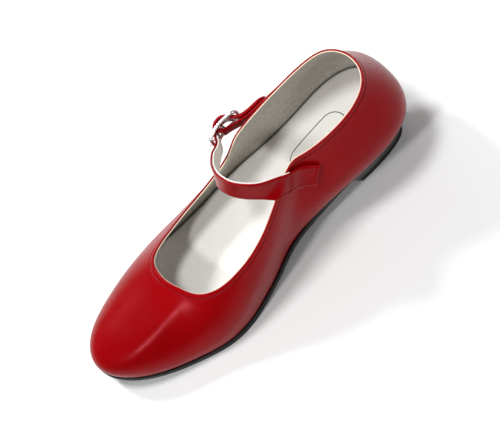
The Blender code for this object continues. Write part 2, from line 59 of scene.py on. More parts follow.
def risingCurve(knots, values, at):
    step = np.diff(knots)
    slope = np.diff(values) / step
    tangent = np.zeros(len(knots))
    for i in range(1, len(knots) - 1):
        if slope[i - 1] * slope[i] > 0:  # never overshoots
            before = step[i] * 2 + step[i - 1]
            after = step[i] + step[i - 1] * 2
            tangent[i] = (before + after) / (before / slope[i - 1] + after / slope[i])
    tangent[0], tangent[-1] = slope[0], slope[-1]
    at = np.clip(at, knots[0], knots[-1])
    i = np.clip(np.searchsorted(knots, at, side="right") - 1, 0, len(step) - 1)
    return hermite((at - knots[i]) / step[i], values[i], values[i + 1],
                   tangent[i] * step[i], tangent[i + 1] * step[i])


def closedCurve(values, at):
    values = np.asarray(values, float)
    count = len(values)
    matrix = 4 * np.eye(count) + np.roll(np.eye(count), 1, 0) + np.roll(np.eye(count), -1, 0)
    tangent = np.linalg.solve(matrix, 3 * (np.roll(values, -1, 0) - np.roll(values, 1, 0)))
    place = (np.asarray(at) % 1.0) * count
    i = np.floor(place).astype(int) % count
    j = (i + 1) % count
    return hermite((place - np.floor(place))[:, None], values[i], values[j], tangent[i], tangent[j])


def openCurve(points, perSpan):
    points = np.asarray(points, float)
    lengths = np.linalg.norm(np.diff(points[:, :3], axis=0), axis=1)
    knots = np.concatenate([[0], np.cumsum(lengths)])
    tangent = np.gradient(points, knots, axis=0)
    rows = []
    for i, length in enumerate(lengths):
        for k in range(perSpan):
            rows.append(hermite(k / perSpan, points[i], points[i + 1],
                                tangent[i] * length, tangent[i + 1] * length))
    rows.append(points[-1])
    return np.array(rows)


def unit(v):
    return v / np.linalg.norm(v, axis=-1, keepdims=True)


# The last, in the same sizes as the frame

last = {
    "footLength": 243 * mm, "ballWidth": 84 * mm, "heelRise": 25.5 * mm, "toeSpring": 10.4 * mm,
    "quarterHeight": 52.5 * mm, "soleThick": 4 * mm, "gap": 0.3 * mm, "heelTuck": 5 * mm,
    "featherRadius": 2.2 * mm, "lastingMargin": 9 * mm, "soleEdge": 0.9 * mm,
    "columns": 360,       # round the shoe
    "frameColumns": 72,   # round the frame's own solids
}
# footAlong footOut footLean footPull topAlong topOut topRise topLean topPull tuck, as shares and degrees
sections = (
    (0.010,  0.00, 46, .34, 0.035,  0.00,  0.985, 14, .34, 1.0),  # heel back
    (0.035,  0.52, 48, .36, 0.060,  0.44,  1.000, 12, .34, 1.0),  # inner heel corner
    (0.138,  0.73, 42, .35, 0.155,  0.61,  0.950, 10, .33, 1.0),  # inner heel
    (0.270,  0.68, 32, .34, 0.265,  0.51,  0.915,  6, .33, 0.5),  # inner quarter
    (0.420,  0.59, 16, .33, 0.330,  0.52,  1.000,  6, .33, 0.0),  # inner waist
    (0.525,  0.74, 16, .33, 0.470,  0.76,  0.875, 12, .33, 0.0),  # inner instep
    (0.670,  0.92, 12, .32, 0.608,  0.755, 0.770, 34, .36, 0.0),  # inner ball
    (0.780,  0.82, 10, .28, 0.685,  0.52,  0.690, 55, .42, 0.0),  # inner forepart
    (0.915,  0.52,  8, .24, 0.713,  0.23,  0.700, 68, .46, 0.0),  # inner toe
    (1.000, -0.01,  6, .22, 0.727, -0.03,  0.695, 70, .46, 0.0),  # toe tip
    (0.950, -0.60,  8, .24, 0.727, -0.30,  0.675, 68, .46, 0.0),  # outer toe
    (0.806, -0.93, 10, .28, 0.702, -0.54,  0.620, 55, .42, 0.0),  # outer forepart
    (0.680, -1.02, 12, .32, 0.600, -0.70,  0.555, 34, .36, 0.0),  # outer ball
    (0.550, -0.96, 12, .33, 0.440, -0.66,  0.630, 12, .33, 0.0),  # outer instep
    (0.420, -0.90, 12, .33, 0.368, -0.635, 0.815,  6, .33, 0.0),  # outer waist
    (0.270, -0.72, 32, .34, 0.284, -0.68,  0.760,  6, .33, 0.5),  # outer quarter
    (0.133, -0.70, 42, .35, 0.156, -0.59,  0.835, 10, .33, 1.0),  # outer heel
    (0.036, -0.50, 48, .36, 0.071, -0.41,  0.930, 12, .34, 1.0),  # outer heel corner
)
# along, heel and toe shares of the sole's side profile
tread = ((0.00, 1.00, 0.00), (0.14, 0.97, 0.00), (0.24, 0.87, 0.00), (0.36, 0.60, 0.00),
         (0.47, 0.33, 0.00), (0.57, 0.12, 0.00), (0.66, 0.00, 0.00), (0.75, 0.00, 0.00),
         (0.84, 0.00, 0.20), (0.92, 0.00, 0.55), (1.00, 0.00, 1.00))


def treadHeight(x):
    table = np.array(tread)
    share = np.asarray(x) / last["footLength"]
    return (last["heelRise"] * risingCurve(table[:, 0], table[:, 1], share)
            + last["toeSpring"] * risingCurve(table[:, 0], table[:, 2], share))


def seatHeight(x):
    return treadHeight(x) + last["soleThick"] + last["gap"]


def lastLines(turns):
    table = closedCurve(sections, turns)
    footX, topX = table[:, 0] * last["footLength"], table[:, 4] * last["footLength"]
    foot = np.stack([footX, table[:, 1] * last["ballWidth"] / 2, seatHeight(footX)], 1)
    top = np.stack([topX, table[:, 5] * last["ballWidth"] / 2,
                    seatHeight(topX) + table[:, 6] * last["quarterHeight"]], 1)
    return foot, top, table[:, [2, 3, 7, 8, 9]]


def outward(loop):
    along = np.roll(loop, -1, 0) - np.roll(loop, 1, 0)
    return unit(np.stack([-along[:, 1], along[:, 0], np.zeros(len(loop))], 1))


def movedIn(loop, distance):
    moved = loop - outward(loop) * distance
    moved[:, 2] = seatHeight(moved[:, 0])
    return moved


def soleLine(turns, stepOut):
    foot, _, shape = lastLines(turns)
    line = foot + outward(foot) * (stepOut - last["heelTuck"] * shape[:, 4:])
    line[:, 2] = 0
    return line


def placed(row):
    x = row[0] * last["footLength"]
    return np.array([x, row[1] * last["ballWidth"] / 2, seatHeight(x) + row[2] * last["quarterHeight"]])


# Where the last stands in the frame: its outline against the outsole's box
frameLine = soleLine(np.arange(last["frameColumns"]) / last["frameColumns"], last["soleEdge"])
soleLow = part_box("outsole")[0]
shoeShift = np.array([soleLow.x - frameLine[:, 0].min(), soleLow.y - frameLine[:, 1].min(), 0.0])
turns = np.arange(last["columns"]) / last["columns"]


# Meshes

def inScene(name, data):
    made = bpy.data.objects.new(name, data)
    scene.collection.objects.link(made)
    return made


def faceOutwards(mesh, mergeWithin=0.0):
    body = bmesh.new()
    body.from_mesh(mesh)
    if mergeWithin:
        bmesh.ops.remove_doubles(body, verts=body.verts, dist=mergeWithin)
    bmesh.ops.recalc_face_normals(body, faces=body.faces)
    body.to_mesh(mesh)
    body.free()


def newPiece(name, vertices, faces, material):
    # vertices in the last's own place
    mesh = bpy.data.meshes.new(name)
    mesh.from_pydata((np.asarray(vertices, float) + shoeShift).tolist(), [], faces)
    mesh.materials.append(material)
    faceOutwards(mesh, 0.002 * mm)
    mesh.shade_smooth()
    return inScene(name, mesh)


def bandFaces(rows, columns, joined=False):
    # quads between closed rings of points; joined carries the last ring on to the first
    faces = []
    for r in range(rows if joined else rows - 1):
        near, far = r * columns, (r + 1) % rows * columns
        for c in range(columns):
            d = (c + 1) % columns
            faces.append((near + c, far + c, far + d, near + d))
    return faces


def finishPiece(piece, replaced):
    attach(piece, "root")
    if replaced:
        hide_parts(*replaced)
    return piece


def valueAttribute(piece, name, values):
    made = piece.data.attributes.new(name, "FLOAT", "POINT")
    made.data.foreach_set("value", np.asarray(values, np.float32))


def cappedBody(name, loops, topHeight, bottomHeight, material, cross, front=1):
    # stacked loops, top first, whose points i and -i face each other; ribs close both ends,
    # and front is the number of points on the straight front
    count = len(loops[0])
    middle = (count - front + 1) // 2
    vertices = [point for loop in loops for point in loop]
    faces = bandFaces(len(loops), count)
    for loop, first, height in ((loops[0], 0, topHeight),
                                (loops[-1], (len(loops) - 1) * count, bottomHeight)):
        ribs = [[first]]
        for i in range(1, middle):
            rib = [first + i]
            for k in range(1, cross):
                point = loop[i] + (loop[count - i] - loop[i]) * (k / cross)
                point[2] = height(point[0], abs(2 * k / cross - 1))
                rib.append(len(vertices))
                vertices.append(point)
            rib.append(first + count - i)
            ribs.append(rib)
        ribs.append(list(range(first + middle, first + middle + front)))
        for near, far in zip(ribs, ribs[1:]):
            for k in range(cross):
                a, b = near[min(k, len(near) - 1)], near[min(k + 1, len(near) - 1)]
                c, d = far[min(k + 1, len(far) - 1)], far[min(k, len(far) - 1)]
                faces.append(tuple(dict.fromkeys((a, b, c, d))))
    return newPiece(name, vertices, faces, material)


# Nodes

def feed(tree, socket, value):
    # value is a plain value or the output of another node
    if hasattr(value, "is_output"):
        tree.links.new(value, socket)
    elif socket.type == "RGBA":
        socket.default_value = (*value, 1.0)
    else:
        socket.default_value = value


def addNode(tree, kind, inputs=None, **settings):
    made = tree.nodes.new(kind)
    for key, value in settings.items():
        setattr(made, key, value)
    for key, value in (inputs or {}).items():
        feed(tree, made.inputs[key], value)
    return made


class Finish:
    def __init__(self, name):
        self.material = bpy.data.materials.new(name)
        self.material.use_nodes = True
        self.tree = self.material.node_tree

    def pattern(self, kind, **sizes):
        # a texture on the piece's own coordinates
        spot = addNode(self.tree, "ShaderNodeTexCoord").outputs["Object"]
        return addNode(self.tree, kind, {"Vector": spot, **sizes})

    def noise(self, scale, detail=3.0, spread=0.5):
        made = self.pattern("ShaderNodeTexNoise", Scale=scale, Detail=detail, Roughness=spread)
        return made.outputs["Fac"]

    def cells(self, scale, unevenness=1.0):
        made = self.pattern("ShaderNodeTexVoronoi", Scale=scale, Randomness=unevenness)
        return made.outputs["Distance"]

    def remap(self, source, fromLow, fromHigh, toLow, toHigh):
        inputs = {"Value": source, "From Min": fromLow, "From Max": fromHigh,
                  "To Min": toLow, "To Max": toHigh}
        return addNode(self.tree, "ShaderNodeMapRange", inputs).outputs["Result"]

    def mixColor(self, share, first, second):
        made = addNode(self.tree, "ShaderNodeMix", data_type="RGBA")
        for name, source in (("Factor_Float", share), ("A_Color", first), ("B_Color", second)):
            feed(self.tree, next(s for s in made.inputs if s.identifier == name), source)
        return next(s for s in made.outputs if s.identifier == "Result_Color")

    def attribute(self, name):
        return addNode(self.tree, "ShaderNodeAttribute", attribute_name=name).outputs["Fac"]

    def bump(self, height, strength, distance, before=None):
        inputs = {"Strength": strength, "Distance": distance, "Height": height}
        if before:
            inputs["Normal"] = before
        return addNode(self.tree, "ShaderNodeBump", inputs).outputs["Normal"]

    def relief(self, sizes, before=None):
        scale, detail, spread, strength, height = sizes
        return self.bump(self.noise(scale, detail, spread), strength, height, before)

    def set(self, **values):
        names = {"color": "Base Color", "roughness": "Roughness", "metallic": "Metallic",
                 "coat": "Coat Weight", "coatRoughness": "Coat Roughness", "normal": "Normal",
                 "specular": "Specular IOR Level", "gloss": "Specular Tint"}
        shader = self.tree.nodes["Principled BSDF"]
        for key, value in values.items():
            feed(self.tree, shader.inputs[names[key]], value)
        return self.material


# Finishes

# grain and waves: scale, detail, spread, strength and height in metres
redLeatherLook = {
    # the last colour on the next line is a painted highlight for the raised puff by the topline
    "lit": (0.250, 0.0, 0.0010), "deep": (0.175, 0.0, 0.0007), "highlightColor": (0.29, 0.001, 0.004),
    # creases take painted shade towards deep, by the share given on the next line
    "cloudScale": 22, "cloudShare": 0.45, "creaseShadeShare": 0.75, "highlightShare": 0.5,
    "grain": (900, 4, 0.6, 0.22, 0.00014), "waves": (130, 2, 0.5, 0.10, 0.0004),
    "pores": (2300, 0.14, 0.00008),
    "roughness": (0.25, 0.34), "roughScale": 60, "specular": 0.2, "gloss": (1.0, 0.25, 0.34),
}


def makeRedLeather():
    look = redLeatherLook
    finish = Finish("red_leather_smooth")
    cloud = finish.remap(finish.noise(look["cloudScale"], 3), 0.35, 0.68, 0, look["cloudShare"])
    tone = finish.mixColor(cloud, look["lit"], look["deep"])
    # painted shade: the crease attribute darkens the leather towards deep in the topline's groove and in
    # the strap's seams and crease
    crease = finish.remap(finish.attribute("crease"), 0, 1, 0, look["creaseShadeShare"])
    tone = finish.mixColor(crease, tone, look["deep"])
    # painted highlight: lighter red on the raised puff by the topline
    paintedHighlight = finish.remap(finish.attribute("paintedHighlight"), 0, 1, 0, look["highlightShare"])
    tone = finish.mixColor(paintedHighlight, tone, look["highlightColor"])
    poreScale, strength, height = look["pores"]
    normal = finish.bump(finish.cells(poreScale), strength, height, finish.relief(look["grain"]))
    normal = finish.relief(look["waves"], normal)
    rough = finish.remap(finish.noise(look["roughScale"], 4, 0.6), 0.3, 0.7, *look["roughness"])
    return finish.set(color=tone, roughness=rough, specular=look["specular"], gloss=look["gloss"],
                      normal=normal)


liningLook = {
    "wall": ((0.37, 0.345, 0.305), (0.49, 0.465, 0.42)),
    "strap": ((0.76, 0.72, 0.66), (0.84, 0.81, 0.76)),
    # the gap colour on the next line is painted shade for the foot of the lining, by the insole
    "edge": (0.86, 0.66, 0.52), "gap": (0.022, 0.019, 0.016), "fleckScale": 420,
    "weave": (1500, 0.6, 0.3, 0.0002), "waves": (300, 3, 0.5, 0.15, 0.0003), "roughness": 0.78,
}


def makeLiningCloth(name, colors):
    look = liningLook
    finish = Finish(name)
    fleck = finish.remap(finish.noise(look["fleckScale"], 4, 0.65), 0.3, 0.7, 0, 1)
    tone = finish.mixColor(fleck, *colors)
    tone = finish.mixColor(finish.attribute("edge"), tone, look["edge"])
    # painted shade: the gap attribute darkens the lining towards its foot
    tone = finish.mixColor(finish.attribute("gap"), tone, look["gap"])
    scale, unevenness, strength, height = look["weave"]
    weave = finish.bump(finish.cells(scale, unevenness), strength, height)
    normal = finish.relief(look["waves"], weave)
    return finish.set(color=tone, roughness=look["roughness"], normal=normal)


insoleLook = {
    "base": (0.80, 0.785, 0.75), "shade": (0.69, 0.67, 0.635), "fleck": (0.42, 0.38, 0.33),
    # the gap colour on the next line is painted shade round the insole's rim
    "gap": (0.03, 0.027, 0.024), "cloudScale": 30, "fleckScale": 150,
    "grain": (900, 5, 0.7, 0.28, 0.00025), "waves": (160, 3, 0.5, 0.18, 0.0004), "roughness": 0.62,
}


def makeInsoleCloth():
    look = insoleLook
    finish = Finish("insole_offwhite")
    cloud = finish.remap(finish.noise(look["cloudScale"], 4, 0.6), 0.35, 0.75, 0, 0.6)
    tone = finish.mixColor(cloud, look["base"], look["shade"])
    fleck = finish.remap(finish.cells(look["fleckScale"]), 0.03, 0.07, 0.4, 0)
    tone = finish.mixColor(fleck, tone, look["fleck"])
    # painted shade: the gap attribute darkens the insole's rim
    tone = finish.mixColor(finish.attribute("gap"), tone, look["gap"])
    normal = finish.relief(look["waves"], finish.relief(look["grain"]))
    return finish.set(color=tone, roughness=look["roughness"], normal=normal)


# tone: scale, detail and two colours; patches: scale, detail and the two ends of the roughness
blackSoleLook = {
    "tone": (90, 4, (0.0035, 0.0035, 0.0037), (0.009, 0.0088, 0.0085)),
    "grain": (1100, 4, 0.7, 0.3, 0.0002), "patches": (40, 4, 0.42, 0.62), "even": {"specular": 0.3},
}
heelPaintLook = {
    "tone": (70, 3, (0.003, 0.003, 0.003), (0.007, 0.0068, 0.0066)),
    "grain": (500, 3, 0.5, 0.08, 0.0001), "patches": (50, 3, 0.25, 0.4),
    "even": {"specular": 0.35, "coat": 0.08, "coatRoughness": 0.25},
}
steelLook = {
    "tone": (300, 3, (0.86, 0.86, 0.85), (0.74, 0.74, 0.735)),
    "grain": (1500, 2, 0.5, 0.04, 0.00004), "patches": (900, 3, 0.22, 0.34), "even": {"metallic": 1.0},
}
threadLook = {
    "tone": (2600, 2, (0.215, 0.0, 0.001), (0.13, 0.0, 0.0006)),
    "even": {"roughness": 0.6, "specular": 0.12},
}
printLook = {"tone": (700, 3, (0.016, 0.015, 0.015), (0.04, 0.038, 0.036)), "even": {"roughness": 0.6}}


def makePlainFinish(name, look):
    finish = Finish(name)
    values = dict(look["even"])
    scale, detail, first, second = look["tone"]
    values["color"] = finish.mixColor(finish.noise(scale, detail), first, second)
    if "grain" in look:
        values["normal"] = finish.relief(look["grain"])
        scale, detail, low, high = look["patches"]
        values["roughness"] = finish.remap(finish.noise(scale, detail), 0.3, 0.7, low, high)
    return finish.set(**values)


redLeather = makeRedLeather()
liningCloth = makeLiningCloth("lining_beige", liningLook["wall"])
strapCloth = makeLiningCloth("strap_lining_cream", liningLook["strap"])
insoleCloth = makeInsoleCloth()
blackSole = makePlainFinish("sole_black", blackSoleLook)
heelPaint = makePlainFinish("heel_black_paint", heelPaintLook)
brightSteel = makePlainFinish("buckle_bright_steel", steelLook)
redThread = makePlainFinish("thread_red", threadLook)
greyPrint = makePlainFinish("print_grey", printLook)
print("finishes made")


# Geometry Nodes: stitches along a path, and a round rod along a path

def nodeGroup(name, sizes):
    tree = bpy.data.node_groups.new(name, "GeometryNodeTree")
    tree.interface.new_socket("Geometry", in_out="INPUT", socket_type="NodeSocketGeometry")
    for label, kind, value in sizes:
        made = tree.interface.new_socket(label, in_out="INPUT", socket_type=kind)
        if value is not None:
            made.default_value = value
    tree.interface.new_socket("Geometry", in_out="OUTPUT", socket_type="NodeSocketGeometry")
    return tree, tree.nodes.new("NodeGroupInput"), tree.nodes.new("NodeGroupOutput")


def endTree(tree, given, out, geometry):
    real = addNode(tree, "GeometryNodeRealizeInstances", {0: geometry}).outputs[0]
    coat = addNode(tree, "GeometryNodeSetMaterial",
                   {"Geometry": real, "Material": given.outputs["Material"]})
    tree.links.new(coat.outputs[0], out.inputs[0])
    return tree


def stitchTree():
    tree, given, out = nodeGroup("stitchRow", (
        ("Spacing", "NodeSocketFloat", 0.0022), ("Stitch Length", "NodeSocketFloat", 0.0016),
        ("Thread", "NodeSocketFloat", 0.0003), ("Seed", "NodeSocketInt", 3),
        ("Material", "NodeSocketMaterial", None)))
    thread = given.outputs["Thread"]
    half = addNode(tree, "ShaderNodeMath", {0: given.outputs["Stitch Length"], 1: 0.5},
                   operation="MULTIPLY")
    size = addNode(tree, "ShaderNodeCombineXYZ", {"X": thread, "Y": thread, "Z": half.outputs[0]})
    ball = addNode(tree, "GeometryNodeMeshUVSphere", {"Segments": 6, "Rings": 6, "Radius": 1.0})
    stitch = addNode(tree, "GeometryNodeTransform",
                     {"Geometry": ball.outputs["Mesh"], "Scale": size.outputs[0]})
    path = addNode(tree, "GeometryNodeMeshToCurve", {0: given.outputs["Geometry"]})
    evenly = addNode(tree, "GeometryNodeResampleCurve",
                     {"Curve": path.outputs[0], "Length": given.outputs["Spacing"]}, mode="LENGTH")
    tangent = addNode(tree, "GeometryNodeInputTangent")
    align = addNode(tree, "FunctionNodeAlignRotationToVector", {"Vector": tangent.outputs[0]}, axis="Z")
    jitter = addNode(tree, "FunctionNodeRandomValue",
                     {"Min": (0.9, 0.9, 0.9), "Max": (1.1, 1.1, 1.08), "Seed": given.outputs["Seed"]},
                     data_type="FLOAT_VECTOR")
    row = addNode(tree, "GeometryNodeInstanceOnPoints",
                  {"Points": evenly.outputs[0], "Instance": stitch.outputs[0],
                   "Rotation": align.outputs[0], "Scale": jitter.outputs[0]})
    return endTree(tree, given, out, row.outputs[0])


def rodTree():
    tree, given, out = nodeGroup("rodAlongPath", (
        ("Radius", "NodeSocketFloat", 0.001), ("Sides", "NodeSocketInt", 20),
        ("Material", "NodeSocketMaterial", None)))
    path = addNode(tree, "GeometryNodeMeshToCurve", {0: given.outputs["Geometry"]})
    ring = addNode(tree, "GeometryNodeCurvePrimitiveCircle",
                   {"Radius": given.outputs["Radius"], "Resolution": given.outputs["Sides"]})
    rod = addNode(tree, "GeometryNodeCurveToMesh",
                  {"Curve": path.outputs[0], "Profile Curve": ring.outputs["Curve"], "Fill Caps": True})
    smooth = addNode(tree, "GeometryNodeSetShadeSmooth", {"Geometry": rod.outputs[0]})
    return endTree(tree, given, out, smooth.outputs[0])


stitchRow = stitchTree()
rodAlongPath = rodTree()


def grown(name, tree, paths, closed, inputs):
    # runs a node tree over one or more paths, in the last's own place, and keeps a plain mesh
    vertices, edges = [], []
    for path in paths:
        first = len(vertices)
        vertices += (np.asarray(path) + shoeShift).tolist()
        edges += [(first + k, first + k + 1) for k in range(len(path) - 1)]
        if closed:
            edges.append((len(vertices) - 1, first))
    mesh = bpy.data.meshes.new(name + "_path")
    mesh.from_pydata(vertices, edges, [])
    guide = inScene(name + "_path", mesh)
    step = guide.modifiers.new("grow", "NODES")
    step.node_group = tree
    sockets = {item.name: item.identifier for item in tree.interface.items_tree
               if item.in_out == "INPUT"}
    for label, value in inputs.items():
        step[sockets[label]] = value
    seen = guide.evaluated_get(bpy.context.evaluated_depsgraph_get())
    plain = bpy.data.meshes.new_from_object(seen)
    plain.name = name
    guide.modifiers.remove(step)
    bpy.data.objects.remove(guide)
    faceOutwards(plain)
    plain.shade_smooth()
    return inScene(name, plain)


def makeRod(name, path, closed, radius, sides, material, replaced):
    sizes = {"Radius": radius, "Sides": sides, "Material": material}
    finishPiece(grown(name, rodAlongPath, [path], closed, sizes), replaced)


# Upper: the outer leather with its turned topline, over a separate lining

upper = {
    "leather": 1.0 * mm, "lining": 0.6 * mm, "between": 0.04 * mm,
    "wallRows": 40, "bandRows": 20, "bandShare": 0.1, "featherRows": 9, "rollSteps": 8,
    "groovePlace": 2.6 * mm, "grooveDepth": 0.28 * mm, "grooveWidth": 0.42 * mm,
    "puff": 0.16 * mm, "puffPlace": 0.45, "puffWidth": 0.5,  # the last two as shares of groovePlace
    # the first value on the next line is how strong the painted highlight on the puff is
    "puffHighlight": 0.5, "marginRow": 0.6, "leatherFloor": 1.6, "liningFloor": (1.7, 1.5),
    # the last three values on the next line place the painted shade at the foot of the lining
    "edgeSink": 0.15 * mm, "gapShadeTop": 2.9, "gapShadeFade": 1.6 * mm, "gapShadeMost": 0.9,
}
vampCrest = {
    "line": ((0.715, 0.37), (0.772, 0.375), (0.845, 0.357), (0.916, 0.315), (0.965, 0.22)),
    "height": 0.7 * mm, "width": 5.5 * mm, "fadeIn": 0.15, "fadeOut": 0.3,
}
flexMarks = {
    # along, slope, width, reach, depth
    "marks": ((0.655, 0.030, 0.020, 0.55, 0.14 * mm), (0.705, 0.045, 0.022, 0.50, 0.10 * mm),
              (0.600, -0.020, 0.024, 0.60, 0.12 * mm)),
    "reachFade": 0.35, "deepest": 0.8, "fade": 0.3,
}


def wallCurve(turns, shares):
    # outer face from the feather line at share 0 to the topline at share 1
    foot, top, bend = lastLines(turns)
    footLean, footPull = np.radians(bend[:, :1]), bend[:, 1:2]
    topLean, topPull = np.radians(bend[:, 2:3]), bend[:, 3:4]
    angle = math.pi / 2 - footLean
    start = movedIn(foot, last["featherRadius"] * (1 - np.sin(angle)))
    start = start + up * last["featherRadius"] * (1 - np.cos(angle))
    height = np.linalg.norm(top - start, axis=1)[:, None]
    low = start + footPull * height * (np.cos(footLean) * up + np.sin(footLean) * outward(foot))
    high = top + topPull * height * (np.sin(topLean) * outward(top) - np.cos(topLean) * up)
    rows = [(1 - v) ** 3 * start + 3 * v * (1 - v) ** 2 * low
            + 3 * v ** 2 * (1 - v) * high + v ** 3 * top for v in shares]
    return np.array(rows)


def outerRows():
    foot, _, bend = lastLines(turns)
    footLean = np.radians(bend[:, :1])
    rows = [movedIn(foot, last["lastingMargin"]), movedIn(foot, last["lastingMargin"] * upper["marginRow"])]
    for share in np.linspace(0, 1, upper["featherRows"])[:-1]:
        angle = (math.pi / 2 - footLean) * share
        row = movedIn(foot, last["featherRadius"] * (1 - np.sin(angle)))
        rows.append(row + up * last["featherRadius"] * (1 - np.cos(angle)))
    band = 1 - upper["bandShare"]
    shares = np.concatenate([np.linspace(0, band, upper["wallRows"])[:-1],
                             np.linspace(band, 1, upper["bandRows"])])
    return np.array(rows), wallCurve(turns, shares)


def gridNormals(grid):
    alongTurn = np.roll(grid, -1, 1) - np.roll(grid, 1, 1)
    return unit(np.cross(np.gradient(grid, axis=0), alongTurn))


def creaseDepth(points):
    # soft flex marks across the vamp and behind the ball, in the shoe's own sizes
    x, y = points[..., 0] / last["footLength"], points[..., 1] / (last["ballWidth"] / 2)
    depth = np.zeros(x.shape)
    for place, slope, width, reach, deep in flexMarks["marks"]:
        across = np.clip((np.abs(y) - reach) / flexMarks["reachFade"], 0, 1)
        across = across * np.exp(-((np.abs(y) - flexMarks["deepest"]) / flexMarks["fade"]) ** 2)
        depth += deep * np.exp(-((x - place - slope * y) / width) ** 2) * across
    return depth


def crestHeight(points):
    # the vamp's soft crest, along a given line from the throat towards the toe
    line = np.array(vampCrest["line"]) * (last["footLength"], last["ballWidth"] / 2)
    flat = points[..., :2]
    height = np.zeros(flat.shape[:-1])
    lengths = np.linalg.norm(np.diff(line, axis=0), axis=1)
    before = 0.0
    for start, end, length in zip(line, line[1:], lengths):
        way = (end - start) / length
        along = np.clip((flat - start) @ way, 0, length)
        off = np.linalg.norm(flat - start - along[..., None] * way, axis=-1)
        share = (before + along) / lengths.sum()
        fade = np.clip(share / vampCrest["fadeIn"], 0, 1)
        fade = fade * np.clip((1 - share) / vampCrest["fadeOut"], 0, 1)
        height = np.maximum(height, np.exp(-(off / vampCrest["width"]) ** 2) * fade)
        before += length
    return height * vampCrest["height"]


under, wall = outerRows()
wallNormal = gridNormals(wall)
fromTop = np.concatenate([np.cumsum(np.linalg.norm(np.diff(wall[::-1], axis=0), axis=2), axis=0)[::-1],
                          np.zeros((1, wall.shape[1]))])
groove = np.exp(-((fromTop - upper["groovePlace"]) / upper["grooveWidth"]) ** 2)
puff = np.exp(-((fromTop - upper["groovePlace"] * upper["puffPlace"])
                / (upper["groovePlace"] * upper["puffWidth"])) ** 2)
relief = upper["puff"] * puff - upper["grooveDepth"] * groove - creaseDepth(wall) + crestHeight(wall)
outerFace = wall + wallNormal * relief[..., None]
outerTree = BVHTree.FromPolygons([tuple(p) for p in wall.reshape(-1, 3)],
                                 bandFaces(len(wall), last["columns"]))


def rolledEdge(middle, thick, rise):
    # over the topline, from the outer face to the inner one
    return [middle + thick / 2 * (math.cos(a) * wallNormal[-1] + math.sin(a) * rise)
            for a in np.linspace(0, math.pi, upper["rollSteps"] + 2)[1:-1]]


def innerRows(inset):
    # every other row of the wall, moved in, from the topline down
    rows = (wall - wallNormal * inset)[::-1]
    return rows[np.r_[0:upper["bandRows"]:2, upper["bandRows"]:len(rows):2]]


def upperPiece(name, rows, material):
    faces = bandFaces(len(rows), last["columns"], joined=True)
    return newPiece(name, np.concatenate(rows), faces, material)


def rowValues(piece, name, rows, first, values):
    # values for the rows from first on, and nothing on the others
    spread = np.zeros((len(rows), last["columns"]))
    spread[first:first + len(values)] = values
    valueAttribute(piece, name, spread.ravel())


def makeLeather():
    thick = upper["leather"]
    rise = unit(wall[-1] - wall[-2])
    roll = rolledEdge(outerFace[-1] - wallNormal[-1] * thick / 2, thick, rise)
    foot = lastLines(turns)[0]
    rows = [*under, *outerFace, *roll, *innerRows(thick),
            movedIn(foot, thick * upper["leatherFloor"]) + up * thick,
            movedIn(foot, last["lastingMargin"]) + up * thick]
    piece = upperPiece("upper_leather", rows, redLeather)
    # painted shade in the topline's groove
    rowValues(piece, "crease", rows, len(under), groove)
    # painted highlight on the raised puff
    rowValues(piece, "paintedHighlight", rows, len(under), puff * upper["puffHighlight"])
    return finishPiece(piece, ["upper"])


def makeLining():
    outside = upper["leather"] + upper["between"]
    inside = outside + upper["lining"]
    rise = unit(wall[-1] - wall[-2])
    outer, inner = innerRows(outside)[::-1], innerRows(inside)
    outer[-1] = outer[-1] - rise * upper["edgeSink"]
    inner[0] = inner[0] - rise * upper["edgeSink"]
    middle = outer[-1] + (rise - wallNormal[-1]) * upper["lining"] / 2
    roll = rolledEdge(middle, upper["lining"], rise)
    foot = lastLines(turns)[0]
    outerShare, innerShare = upper["liningFloor"]
    rows = [movedIn(foot, last["lastingMargin"]) + up * outside,
            movedIn(foot, outside * outerShare) + up * outside, *outer, *roll, *inner,
            movedIn(foot, inside * innerShare) + up * inside,
            movedIn(foot, last["lastingMargin"]) + up * inside]
    piece = upperPiece("upper_lining", rows, liningCloth)
    rowValues(piece, "edge", rows, len(outer) + 1, np.ones((len(roll) + 2, 1)))
    # painted shade, darker the nearer the lining comes to the seat
    heights = np.array([row[:, 2] - seatHeight(row[:, 0]) for row in rows])
    paintedShade = np.clip(upper["gapShadeTop"] - heights / upper["gapShadeFade"], 0, upper["gapShadeMost"])
    valueAttribute(piece, "gap", paintedShade.ravel())
    return finishPiece(piece, [])


makeLeather()
makeLining()
print("upper made")


# Insole, fitted to the inside of the lining

insole = {
    "clear": 0.8 * mm, "thick": 2.2 * mm, "bed": 1.9 * mm, "soft": 0.9 * mm, "dish": 0.5 * mm,
    "cross": 28, "edgeEvery": 3,
    # inwards and down in shares of soft, and how dark the painted shade is
    "edge": ((1.4, 0.0, 0.12), (0.7, 0.06, 0.5), (0.3, 0.25, 0.85), (0.06, 0.6, 0.95), (0.0, 1.0, 0.95)),
    # inwards and up from the bed, and how dark the painted shade is
    "foot": ((1.2 * mm, 0.2 * mm, 0.95), (2.0 * mm, 0.0, 0.95)),
}


def innerLine(rise):
    # where the lining's inner face stands rise above the seat
    face = wall - wallNormal * (upper["leather"] + upper["between"] + upper["lining"])
    heights = face[..., 2] - seatHeight(face[..., 0])
    line = np.zeros((last["columns"], 3))
    for c in range(last["columns"]):
        r = max(int(np.argmax(heights[:, c] > rise)), 1)
        low, high = heights[r - 1, c], heights[r, c]
        share = np.clip((rise - low) / max(high - low, 1e-6), -1, 1)
        line[c] = face[r - 1, c] + (face[r, c] - face[r - 1, c]) * share
    return line


